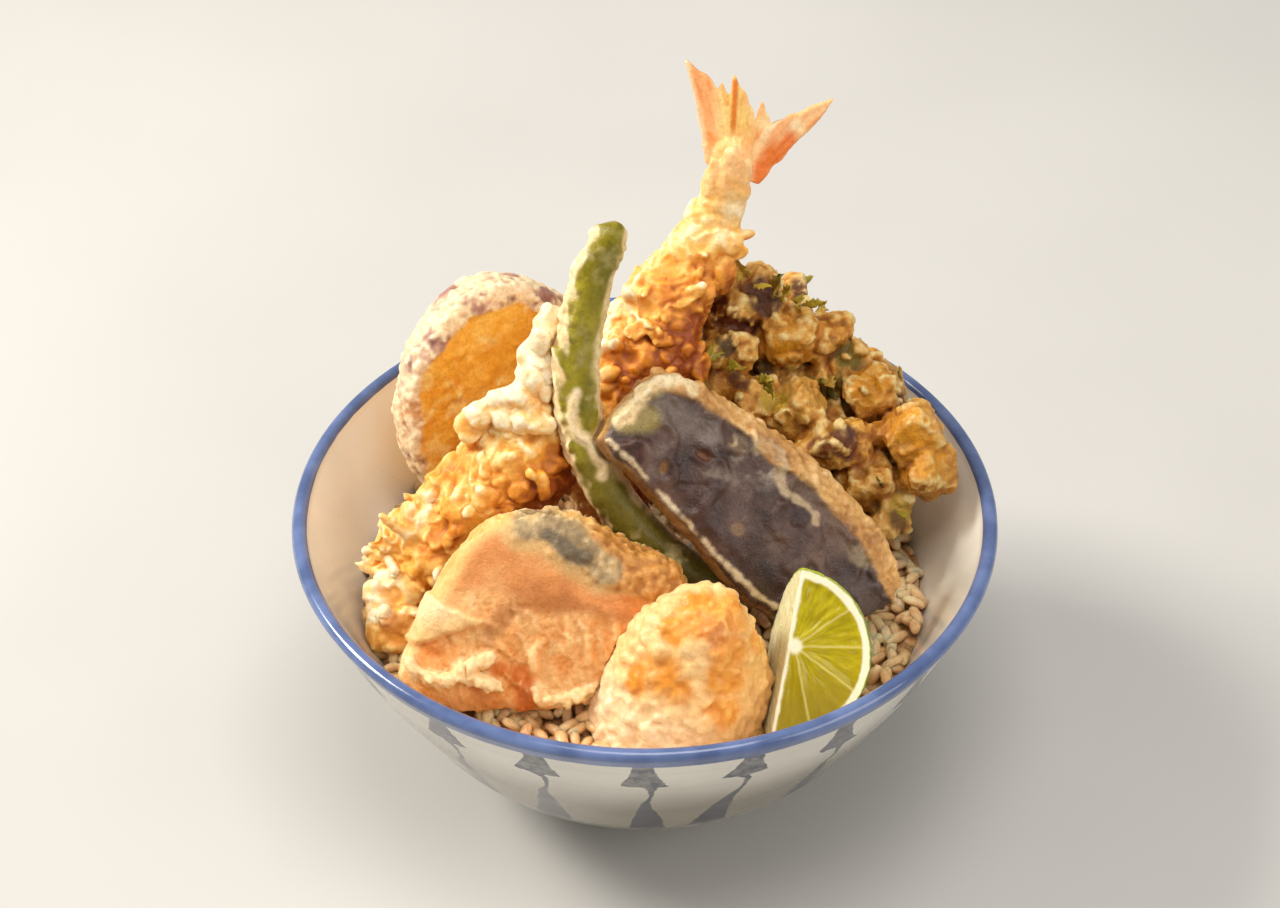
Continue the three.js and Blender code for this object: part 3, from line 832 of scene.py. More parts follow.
def make_leaning_shrimp():
    base = Base("leaning_shrimp", 12, inset=lambda p: 0.9)
    p, n = base.p, base.n
    upper = step(84, 92, p[:, 2])
    base.add(BALL, 0.03, 6.5, (2.4, 1.8, 1.0), (4.6, 2.6, 1.7), 0.3, 0.4)
    base.add(BALL, 0.03, 3.6, (1.4, 1.0, 0.8), (2.6, 1.6, 1.2), 0.4, 0.2)
    left = step(0.3, 0.8, -n[:, 0])
    base.add(BALL, 0.04 * left, 6.0, (2.8, 2.0, 1.2), (4.6, 2.8, 1.9), 0.2, 0.2)
    low_frill = step(70, 60, p[:, 2]) * step(-0.3, 0.4, n[:, 2] - n[:, 0] * 0.5)
    base.add(FLAKE, 0.06 * low_frill, 4.0, (2.4, 1.3, 0.5), (4.2, 2.0, 0.7), 1.0, -0.4)
    base.add(FLAKE, 0.04 * (1 - upper), 4.5, (1.8, 1.0, 0.45), (3.0, 1.6, 0.6), 0.9, 0.1)
    base.threads(*LOOSE_BATTER)
    knobs = np.array([(-38.2, -4, 94.5), (-35.5, -4.5, 98.5), (-32, -3, 101), (-27, -3.5, 103), (-30, -5, 98),
                      (-26, -6, 98)])
    size = base.rng.uniform(2.2, 3.6, knobs.shape)
    outward = np.tile([0.1, -0.8, 0.5], (len(knobs), 1))
    base.parts.append(copies(BALL, knobs, frames_on(base.rng, outward, size)))
    base.single(BALL, 1.4, ([-24.7, -13, 89.4], [1, 0, 0], [1.4, 1.2, 1.2]),
                ([-46.5, -4, 76.9], [-0.5, -0.2, -0.7], [5.0, 2.4, 1.6]),
                ([-51.0, -8.0, 72.0], [-0.3, -0.4, -0.7], [4.0, 2.2, 1.5]),
                ([-54.0, -16.0, 58.5], [0.8, -0.4, 0.1], [6.4, 4.0, 2.0]),
                ([-57.8, -17.0, 56], [0.5, -0.4, -0.6], [4.6, 3.2, 1.8]),
                ([-22.2, 0.9, 114.4], [0.1, 0.1, 1], [3.4, 2.5, 1.8]),
                ([-23.8, -1.6, 105.6], [-0.3, 0, 1], [3.8, 2.6, 2.0]),
                ([-22.5, -6.5, 97.8], [-1, 0, 0.3], [4.0, 2.6, 1.8]))
    skin = base.skinned("leaning_shrimp_batter", 0.46, 4)
    q = skin.p
    skin.push((1 - 0.3 * step(88, 94, q[:, 2])) * crisp(q, 4.2, 1.0, 43) + 0.1 * noise(q, 1.3, 2, 44))
    q, m = skin.p, skin.n
    # painted light and shade, with some of the batter's own tone: deeper on the right and low down, paler up
    # top and on sides facing left; one patch paler and one strip more golden
    shade_and_tone = 1.2 * step(-34, -20, q[:, 0] + 0.25 * (90 - q[:, 2]))
    shade_and_tone = 0.25 + shade_and_tone * step(99, 86, q[:, 2] + 4 * noise(q, 8, 2, 4))
    shade_and_tone += 0.35 * step(92, 84, q[:, 2]) * step(-0.5, 0.3, noise(q, 9, 2, 3))
    leftward = step(0.2, 0.9, -m[:, 0] + 0.3 * m[:, 2]) * step(-0.4, 0.5, noise(q, 12, 2, 9))
    shade_and_tone -= 0.7 * step(91, 99, q[:, 2]) + 0.5 * step(100, 108, q[:, 2]) + 0.7 * leftward
    shade_and_tone -= 0.9 * step(9.5, 5.5, np.linalg.norm(q - [-55, -17.5, 56.5], axis=1) + 1.5 * noise(q, 5, 2, 10))
    # a painted highlight along the lit left edge
    highlit_edge = line_distance(q, [(-45, -6, 79), (-52, -11, 70), (-56, -14, 62)])
    shade_and_tone -= 0.7 * step(4.5, 1.5, highlit_edge + noise(q, 4, 2, 12))
    gold_patch = line_distance(q, [(-42, -14, 77), (-46, -16, 70)])
    shade_and_tone += 0.7 * step(5.0, 2.0, gold_patch + noise(q, 4, 2, 13))
    colours = crust(skin, BATTER, shade_and_tone, 71)
    hole = np.linalg.norm((skin.p - [-54.7, -23.5, 54.8]) / [3.0, 3.0, 2.2], axis=1)
    skin.paint(blend(colours, srgb(226, 150, 62), 0.8 * step(1.3, 0.7, hole)))
    skin.finish(BATTER_LOOK, "shrimp_batter", "leaning_shrimp")


def make_shrimp_tail():
    place = Place([18.7, 42, 130], 5, 22)
    skin = Skin("shrimp_tail_fan", solid_of("shrimp_tail"), 0.34, 2, 6)
    q = place.inside(skin.p)
    flat = q[:, :2]
    spread = np.arctan2(q[:, 0] - 0.5, q[:, 1] + 6)
    length = np.hypot(q[:, 0] - 0.5, q[:, 1] + 6)
    ribs = np.sin(spread * 58 + 0.6 * skin.noise(5, 1, 3))
    skin.push(0.16 * ribs * step(8, 16, length) + 0.35 * skin.noise(3, 2, 4) * step(22, 8, length))
    crease = line_distance(flat, [(0, 0), (1.4, 19)])
    base = blend(srgb(254, 222, 168), srgb(248, 172, 96), step(-0.5, 0.7, skin.noise(5, 3, 6)))
    outer_left = step(-1.5, -4.5, q[:, 0])
    colours = blend(base, srgb(248, 158, 88), 0.7 * outer_left)
    middle = step(5.5, 1.0, np.abs(q[:, 0] - 1.3)) * step(4, 10, q[:, 1])
    right = step(6, 10, q[:, 0])
    cream_stripe = step(2.6, 0.8, line_distance(flat, [(6, 6), (20, 11)]))
    edge = line_distance(flat, [(7, 4), (14, 11), (24, 17)])
    patch = step(4.0, 1.4, line_distance(flat, [(3, -4.5), (12.5, 4.5)]) + 0.8 * skin.noise(3, 2, 8))
    tips = step(0.0, 0.8, 0.5 * ribs + skin.noise(6, 2, 9)) * step(17, 26, length)
    left_rim = step(1.5, 0.4, line_distance(flat, [(-5.2, 1), (-6.8, 12), (-9.3, 24)]))
    colours = coated(
        colours,
        (250, 208, 116, 0.85 * middle),
        (220, 126, 34, step(1.0, 0.2, crease) * step(6, 10, q[:, 1])),
        (255, 234, 194, right * cream_stripe),
        (246, 166, 96, 0.8 * right * step(1.9, 0.5, edge + 0.6 * skin.noise(3, 2, 10))),
        (250, 188, 124, 0.8 * right * step(19.5, 22.5, length)),
        (230, 116, 24, 0.95 * patch),
        (232, 126, 52, 0.75 * tips),
        (250, 214, 172, 0.8 * left_rim),
    )
    root = step(7, 1, q[:, 1]) * step(6, 3.5, np.abs(q[:, 0]))
    root_tone = blend(srgb(252, 216, 164), srgb(248, 190, 130), step(-0.3, 0.5, skin.noise(3, 2, 2)))
    skin.paint(blend(colours, root_tone, root * 0.8))
    look = food_look("shrimp_shell", 0.9, 1.08, 0.8, (0.25, 0.45), 0.12, 0.15, (1.0, 0.7, 0.4))
    skin.finish(look, "shrimp_shell", "shrimp_tail")


# ---------------------------------------------------------------- vegetables


def make_green_pepper():
    base = Base("green_pepper", 13, 0.7)
    n = base.n
    left = step(0.45, 0.8, -n[:, 0])
    base.add(BALL, 0.15 * left, 3.0, (2.0, 1.1, 0.5), (3.6, 1.8, 0.8), 0.2, 0.2)
    base.add(BALL, 0.1 * left, 2.0, (0.6, 0.5, 0.3), (1.2, 0.9, 0.5), 0.4, 0.2)
    right = step(0.7, 0.95, n[:, 0])
    base.add(BALL, 0.12 * right, 1.8, (0.8, 0.6, 0.25), (1.6, 1.0, 0.5), 0.3, 0.1)
    wave = base.snap([[-14.2, -7.3, 106.9], [-15.5, -9, 102.2], [-14.5, -10.6, 98], [-11.9, -11.2, 96.2],
                      [-10.4, -12.4, 92.6], [-8.4, -11.9, 90.9], [-9.1, -13.3, 89.2]], -0.1)
    base.threads((wave, [0.4, 0.8, 0.9, 0.6, 0.8, 1.0, 0.5]))
    skin = base.skinned("green_pepper_batter", 0.42, 3)
    skin.push(0.20 * skin.noise(5, 3, 4))
    q, m = skin.p, skin.calm_n
    streaks = noise(q * [1, 1, 0.45], 2.6, 3, 2)
    green = ramp(streaks, (-0.9, 114, 106, 0), (0.0, 138, 126, 8), (0.9, 160, 148, 36))
    veil = step(0.2, 1.1, noise(q, 6, 3, 7) + 0.5 * noise(q, 1.2, 2, 8))
    veil = veil * (0.28 + 0.3 * step(104, 88, q[:, 2]))
    green = coated(
        green,
        # painted shade: darker below 98 mm and darker still below 80 mm, where the pepper runs under the food
        # beside it
        (106, 98, 34, 0.8 * step(98, 80, q[:, 2])),
        (70, 64, 22, 0.75 * step(80, 66, q[:, 2])),
        (210, 196, 140, veil),
    )
    edge = step(0.40, 0.74, -m[:, 0] - 0.1 * m[:, 2] + 0.16 * noise(q, 5, 2, 9) + 0.1 * noise(q, 1.5, 2, 12))
    edge = np.maximum(edge, 0.8 * step(0.60, 0.88, m[:, 0] + 0.1 * noise(q, 4, 2, 10)))
    ridge = step(1.9, 0.7, line_distance(q, wave) + 0.4 * noise(q, 2.5, 2, 13))
    batter = ramp(skin.relief + 0.15 * noise(q, 3, 2, 11), (-0.3, 226, 186, 122), (0.05, 244, 222, 176),
                  (0.4, 254, 242, 214))
    skin.paint(blend(green, batter, np.maximum(edge, 0.9 * ridge)))
    look = food_look("green_pepper", 0.86, 1.1, 1.1, (0.25, 0.5), 0.12, 0.12)
    skin.finish(look, "green_pepper", "green_pepper")


POTATO_OUTLINE = [(-26.5, 0), (-21, 20), (-6, 32), (9, 30), (22, 17), (27, -2), (20, -20), (4, -30),
                  (-14, -25), (-24, -12), (-26.5, 0)]


def make_sweet_potato():
    place = Place([-32.5, 37, 69], 31, 10, 6)
    base = Base("sweet_potato", 14, inset=lambda p: 0.5)
    q = place.inside(base.p)
    flat = q[:, :2]
    inset = line_distance(flat, POTATO_OUTLINE) + 2.2 * step(0, -18, q[:, 0])
    front = step(0.3, 0.7, np.abs(place.turned(base.n)[:, 2]))
    face = front * step(3.0, 5.0, inset + 1.0 * noise(base.p, 7, 2, 1))
    rim = 1 - face
    base.add(BALL, 0.12 * rim, 3.0, (1.2, 1.0, 0.7), (2.4, 1.8, 1.2), 0.4, 0.2)
    base.add(BALL, 0.4 * rim, 1.5, (0.6, 0.5, 0.5), (1.1, 1.0, 0.9), 0.4, 0.0)
    base.add(BALL, 0.5 * rim, 1.1, (0.35, 0.35, 0.35), (0.6, 0.55, 0.55), 0.4, -0.2)
    base.add(BALL, 0.04 * face, 2.4, (0.5, 0.5, 0.2), (1.2, 0.9, 0.45), 0.3, 0.1)
    for u, v in [(-9.1, 20.2), (-14, 2), (-10, -3), (13, 22), (-12, 10)]:
        base.single(BALL, 0.3, (place.outside((u, v, 6)), place.axes @ [0.8, 0.6, 0], [1.5, 1.0, 0.8]))
    skin = base.skinned("sweet_potato_batter", 0.54)
    skin.push(0.28 * skin.noise(4, 3, 4) + 0.12 * skin.noise(1.3, 2, 5))
    skin.calm(14)
    q = place.inside(skin.p)
    flat = q[:, :2]
    inset = line_distance(flat, POTATO_OUTLINE) + 1.0 * skin.noise(6, 3, 6)
    inset -= 1.2 * step(0.1, 0.5, skin.relief)
    inset += 2.2 * step(0, -18, q[:, 0])
    face = step(0.2, 0.6, np.abs(place.turned(skin.calm_n)[:, 2])) * step(3.8, 4.8, inset)
    flesh = ramp(skin.noise(4.5, 3, 3), (-1.0, 234, 162, 48), (0.0, 243, 182, 66), (1.0, 250, 202, 100))
    speckle = skin.noise(2.4, 2, 31) + 1.2 * skin.relief
    speckle = speckle + 0.35 * step(4, -14, q[:, 1]) + 0.2 * step(0, -12, q[:, 0])
    flesh = coated(
        flesh,
        (252, 220, 140, 0.7 * step(0.3, 0.9, speckle)),
        (254, 234, 184, step(0.4, 0.8, skin.relief)),
        (226, 146, 44, 0.5 * step(0.6, 1.1, skin.noise(6, 3, 33))),
        (255, 206, 108, 0.6 * step(-4, -16, q[:, 1] + 0.6 * q[:, 0] + 8)),
    )
    mauve = ramp(skin.noise(3.2, 3, 8), (-0.8, 138, 92, 86), (0.0, 188, 144, 130), (0.7, 222, 188, 164))
    mauve = blend(mauve, srgb(226, 160, 84), 0.7 * step(0.2, 0.7, skin.noise(7, 2, 12)))
    granules = blend(srgb(244, 222, 184), srgb(255, 249, 234), step(0.05, 0.4, skin.relief))
    crumby = skin.relief + 0.34 * skin.noise(5, 3, 10) - 0.05 * step(8, -18, q[:, 0])
    band = blend(mauve, granules, step(-0.2, 0.1, crumby))
    skin.paint(blend(band, flesh, face))
    look = food_look("sweet_potato", 0.86, 1.1, 0.9, (0.25, 0.5), 0.16, 0.2)
    skin.finish(look, "sweet_potato", "sweet_potato")


EGGPLANT = Place([23, -9.6, 81.5], 28, 40, -42)
EGGPLANT_FACE = 7.0  # height of its face over its middle


def make_eggplant():
    place = EGGPLANT
    base = Base("eggplant", 15, 0.7, lambda p: 0.3)

    def line(*points):
        """The nearest places on the surface to points of the face."""
        return base.snap(place.outside([(u, v, EGGPLANT_FACE) for u, v in points]), -0.1)

    q, n = place.inside(base.p), place.turned(base.n)
    flat = q[:, :2]
    upper_edge = [(-31, 13.5), (-24, 15.5), (-6, 14), (13, 11), (29, 4), (39, -3)]
    near = line_distance(flat, upper_edge) + 1.4 * noise(base.p, 7, 2, 2) - 2.2 * step(-14, 6, q[:, 0])
    border = step(5.6, 4.0, near) * step(-0.5, 0.1, n[:, 2] + 0.3)
    base.add(BALL, 0.16 * border, 3.2, (1.5, 1.1, 0.8), (3.0, 2.0, 1.5), 0.5, 0.1)
    base.add(BALL, 0.35 * border, 1.6, (0.7, 0.6, 0.5), (1.4, 1.0, 0.9), 0.5, 0.0)
    base.add(BALL, 0.3 * border, 1.1, (0.35, 0.35, 0.35), (0.6, 0.6, 0.5), 0.4, -0.2)
    hem = line((-38, -4.6), (-31, -8.5), (-26.5, -10.9), (-21, -13.2), (-17, -14.8), (-8, -17.4), (0, -19.8),
               (8.6, -22), (13, -23), (24, -20))
    base.threads((hem, [0.5, 0.25, 0.6, 0.3, 0.5, 0.25, 0.45, 0.25, 0.4, 0.3]))
    fringe = line((-37, 1), (-35.5, 6), (-34.5, 10), (-31, 13), (-27, 14.5), (-23.5, 14.5))
    base.threads((fringe, [0.4, 0.5, 1.2, 1.4, 1.9, 1.0]))
    base.single(BALL, 0.2, (place.outside((-33.5, 9.5, 6)), place.axes @ [0.5, 0.8, 0], [2.6, 1.8, 1.2]),
                (place.outside((-29.5, 12.5, 6)), place.axes @ [0.9, 0.4, 0], [2.8, 2.2, 1.4]),
                (place.outside((-24.5, 12.5, 6)), place.axes @ [0.9, -0.2, 0], [3.2, 2.2, 1.3]))
    drip = line((-9, 6.5), (-5, 8.6), (-1.7, 9.2), (1.4, 8.2), (2.4, 6.3), (2.7, 3.6), (4.2, 1.6), (7.5, 1.3),
                (10.9, 1.2), (13.2, -0.2), (13.8, -1.8))
    base.threads((drip[4:], [0.2, 0.3, 0.2, 0.3, 0.2, 0.2, 0.2]))
    skin = base.skinned("eggplant_batter", 0.45)
    q, m = place.inside(skin.p), place.turned(skin.calm_n)
    flat = q[:, :2]
    u, v = q[:, 0], q[:, 1]

    def spot(x, y, wide, tall, soft=0.35):
        """1 inside an ellipse on the face, 0 outside."""
        ragged = 0.25 * skin.noise(3, 2, int(abs(9 * x + y)))
        return step(1 + soft, 1 - soft, np.hypot((u - x) / wide, (v - y) / tall) + ragged) * (m[:, 2] > 0)

    def along(soft, wide, *points):
        """1 near a line on the face, 0 away from it."""
        return step(wide + soft, wide - soft, line_distance(flat, points) + 0.5 * skin.noise(4, 2, 7))

    face = step(0.1, 0.5, m[:, 2])
    near = line_distance(flat, upper_edge) + 1.2 * skin.noise(7, 3, 3) - 2.2 * step(-14, 6, u)
    border = np.maximum(step(5.0, 3.6, near), 1 - face)
    hole, opening = spot(-15.4, 1.0, 1.7, 0.9), spot(-22.2, -5.1, 1.0, 1.6)
    fold = along(0.5, 0.5, (-17, -6.6), (-12.5, -4.8))
    creases = 1 - np.abs(skin.noise(9, 3, 21))
    push = (1 - border) * (0.7 * step(0.5, 1.0, creases) - 0.35 + 0.14 * skin.noise(2.4, 2, 22))
    swellings = 0.6 * spot(-15.2, 5.1, 3.6, 3.0, 0.6) + 0.5 * spot(-2, -10.5, 6, 4, 0.6)
    push += swellings - 0.9 * hole - 0.5 * opening - 0.5 * fold
    push += border * 0.3 * skin.noise(2.6, 2, 23)
    skin.push(push)
    skin.calm(10)
    fine = skin.relief
    # the skin is lighter on its raised ridges and darker in its hollows, partly painted sheen and shade
    dark = ramp(skin.noise(6, 3, 24) + 0.7 * fine + 0.3 * step(0.5, 1.0, creases),
                (-1.0, 46, 24, 20), (0.0, 78, 50, 42), (0.9, 116, 88, 76))
    smoke = along(1.6, 1.5, (-12.5, -2), (-8, -1.2), (-3.1, -0.9), (0, 1.6))
    smoke = smoke * step(-0.3, 0.5, skin.noise(3, 3, 25))
    faint = 0.55 * along(2.5, 1.0, (-24, -3), (-25, -8)) * step(-0.2, 0.6, skin.noise(3, 3, 26))
    smoke = np.maximum(smoke, faint)
    web = step(0.0, 0.8, skin.noise(2.0, 3, 29)) * spot(-3.2, 5.2, 6.2, 3.6, 0.5)
    film = np.maximum(spot(26.7, -3.6, 3.4, 2.4), along(1.2, 1.4, (28, -3), (33, -4.2), (38, -5)))
    flesh = along(1.2, 2.8, (-37, 3), (-33.5, 1.2), (-29.5, 3))
    dark = coated(
        dark,
        (106, 84, 76, 0.6 * step(-0.2, 0.7, skin.noise(9, 2, 34)) * step(-14, -4, v + 0.4 * u)),
        (92, 74, 72, 0.7 * spot(33, -10, 7, 6, 0.5)),
        (118, 90, 72, 0.75 * along(1.6, 2.6, (6, 4.5), (12, 3.5), (18, 0.5))),
        # painted highlights on the glossy skin: a pale lavender streak and a spot on the swelling
        (122, 106, 98, 0.8 * along(1.5, 3.0, (-27, 7), (-21, 5.5), (-17, 6.5))),
        (132, 118, 112, 0.8 * spot(-15.2, 5.1, 2.6, 2.4, 0.4)),
        (158, 142, 130, 0.6 * smoke),
        (190, 174, 156, 0.75 * web),
        (178, 144, 92, 0.8 * spot(-2.0, -10.1, 1.3, 1.2)),
        (120, 92, 84, 0.6 * spot(-2.6, -8.4, 3.6, 3.0, 0.5)),
        (158, 112, 62, 0.85 * opening),
        (112, 62, 26, 0.9 * hole),
        (178, 158, 128, 0.65 * film),
        (158, 138, 70, 0.9 * flesh),
        (206, 182, 118, 0.7 * along(1.2, 0.8, (-37, 6), (-33, 6.5), (-29, 10))),
    )
    t = fine + 0.22 * skin.noise(6, 2, 33)
    # the border's batter, darker in its hollows, partly painted shade
    beige = ramp(t, (-0.5, 110, 62, 22), (-0.2, 172, 118, 58), (0.1, 216, 168, 102), (0.45, 246, 218, 168))
    beige = coated(
        beige,
        (124, 84, 52, 0.7 * step(0.2, 0.8, skin.noise(8, 2, 36)) * step(2.5, 4.5, near)),
        # painted shade on batter sides that face down the slope
        (112, 66, 28, 0.8 * step(0.0, -0.6, m[:, 1]) * (1 - face)),
    )
    colours = blend(dark * 0.78, beige, border)
    frayed = 0.35 * skin.noise(2, 2, 38)
    wide = np.interp(q[:, 0], [-9, 1, 6, 14], [2.8, 2.4, 1.4, 1.2])
    torn = step(0.1, 0.4, np.abs(skin.noise(3.2, 2, 40))) * step(3, -1, u)
    film = step(1.0, 0.3, line_distance(skin.p, drip) / wide + 1.1 * frayed) * (1 - 0.7 * torn)
    colours = coated(
        colours,
        (226, 204, 168, 0.8 * step(0.9, 0.3, line_distance(skin.p, hem) + frayed)),
        (198, 174, 140, 0.8 * film),
    )
    pale = ramp(fine + 0.2 * skin.noise(3, 2, 39), (-0.3, 196, 146, 88), (0.0, 236, 212, 164),
                (0.3, 250, 238, 208))
    on_fringe = step(2.8, 1.4, line_distance(skin.p, fringe) + 0.9 * skin.noise(3, 2, 37))
    skin.paint(blend(colours, pale, on_fringe))
    look = food_look("eggplant", 0.82, 1.14, 1.1, (0.2, 0.42), 0.16, 0.05)
    skin.finish(look, "eggplant", "eggplant")


def make_radish():
    base = Base("grated_radish", 16, inset=lambda p: 1.2 * step(16, 24, p[:, :1]) - 0.5)
    base.add(BALL, 0.05, 4.5, (2.2, 1.6, 1.0), (3.4, 2.4, 1.6), 0.4, 0.3)
    base.add(BALL, 0.12, 2.6, (1.1, 0.9, 0.7), (2.0, 1.4, 1.1), 0.4, 0.2)
    base.add(BALL, 0.12, 1.6, (1.1, 0.4, 0.3), (2.2, 0.6, 0.45), 0.5, 0.0)
    skin = base.skinned("grated_radish_mound", 0.5, 4)
    skin.push(0.3 * skin.noise(2.0, 4, 4))
    skin.calm(14)
    q = skin.p
    t = skin.relief + 0.2 * noise(q, 5, 2, 5)
    # darker in the mound's hollows, here and in the tan below, partly painted shade
    white = ramp(t, (-0.5, 234, 194, 146), (0.0, 244, 212, 174), (0.5, 251, 232, 208))
    # soy sauce has soaked into all of it but its foot, and lies darkest in pools; its right and lower side is
    # also painted a darker tan, painted shade
    white = coated(
        white,
        (206, 152, 84, 0.85 * step(6, 20, q[:, 0] - 0.5 * (q[:, 2] - 60) + 3 * noise(q, 8, 2, 11))),
        (248, 202, 122, 0.6 * step(57, 67, q[:, 2] + 2 * noise(q, 7, 2, 12))),
    )
    pools = [([6, -49, 77.5], 3.6), ([12, -46, 79], 6), ([18, -45, 78], 5), ([17, -51, 73], 4.5),
             ([3, -54, 70], 4.8), ([-1, -53, 67], 3.6), ([7, -55, 67], 3.6), ([16.6, -54.5, 69], 4.5),
             ([15.5, -56.5, 62], 4.2), ([24, -46, 72], 3.2)]
    sauce = np.max([step(1.5, 0.5, np.linalg.norm(q - spot, axis=1) / wide) for spot, wide in pools], axis=0)
    sauce = step(0.0, 1.05, sauce + 0.22 * noise(q, 4.5, 3, 7))
    tan = ramp(t, (-0.5, 212, 122, 22), (0.0, 228, 148, 42), (0.5, 244, 190, 100))
    colours = blend(white, tan, 0.95 * sauce)
    spiced = step(3.8, 2.0, np.linalg.norm(q - [13.6, -49.5, 77.5], axis=1) + 1.2 * noise(q, 2.5, 2, 9))
    colours = blend(colours, srgb(218, 132, 66), 0.65 * spiced)
    skin.paint(colours)
    look = food_look("grated_radish", 0.92, 1.03, 1.2, (0.2, 0.42), 0.14, 0.3, (1.0, 0.75, 0.55))
    skin.finish(look, "grated_radish", "grated_radish")


# ---------------------------------------------------------------- salmon

# The salmon's face, and lines on it in millimetres across and up it; folds have their radii too.
SALMON = Place([-22.5, -30.5, 66.5], 5, 33)
SILVER_LINE = [(-2, 19), (3, 18), (8.5, 13), (14, 9)]
SILVER_STREAK = [(2.5, 15.7), (5.5, 14), (9.5, 11)]
CRUMB_LINE = [(15, 12), (22, 7.5), (31, 2)]
FRILLS = [([(-30, -8.5), (-26, -11.5), (-21, -12.9), (-17.5, -10.1)], [1.1, 0.9, 1.5, 1.0]),
          ([(-15.7, -9.9), (-13.5, -8.8), (-11.2, -8.6)], [1.2, 1.0, 1.4]),
          ([(-15.5, -12.5), (-13.6, -13), (-11.5, -14.6), (-10, -14.7)], [1.3, 0.9, 1.5, 0.8]),
          ([(-2.3, -16.7), (0.5, -18), (3.8, -18.9), (7.5, -17.6), (10.6, -16.7)], [0.7, 1.0, 0.8, 1.2, 0.7])]
RIDGES = [([(5.1, -0.6), (6.2, -4.5), (5.8, -8.2)], [0.5, 0.9, 0.6]),
          ([(0.1, -5.6), (-2.0, -8), (-2.4, -11.5)], [0.7, 1.1, 0.7]),
          ([(8.5, -2), (10, -6), (9.5, -12)], [0.4, 0.8, 0.5]),
          ([(-13, -4.5), (-8, -7), (-5, -11)], [0.5, 0.9, 0.4]),
          ([(14, 0), (16, -4), (15.5, -9)], [0.5, 0.8, 0.5])]
SALMON_FACE = 8  # height over its middle from which lines are dropped on its face


def salmon_flap(u, v, ragged):
    """How far inside the fold of batter at the left each place is: a wedge, wide at the edge."""
    half = np.interp(u, [-31, -24, -13, -11], [7.0, 5.0, 0.9, -1.0])
    return half - np.abs(v - np.interp(u, [-31, -13], [0.4, -0.9])) + ragged


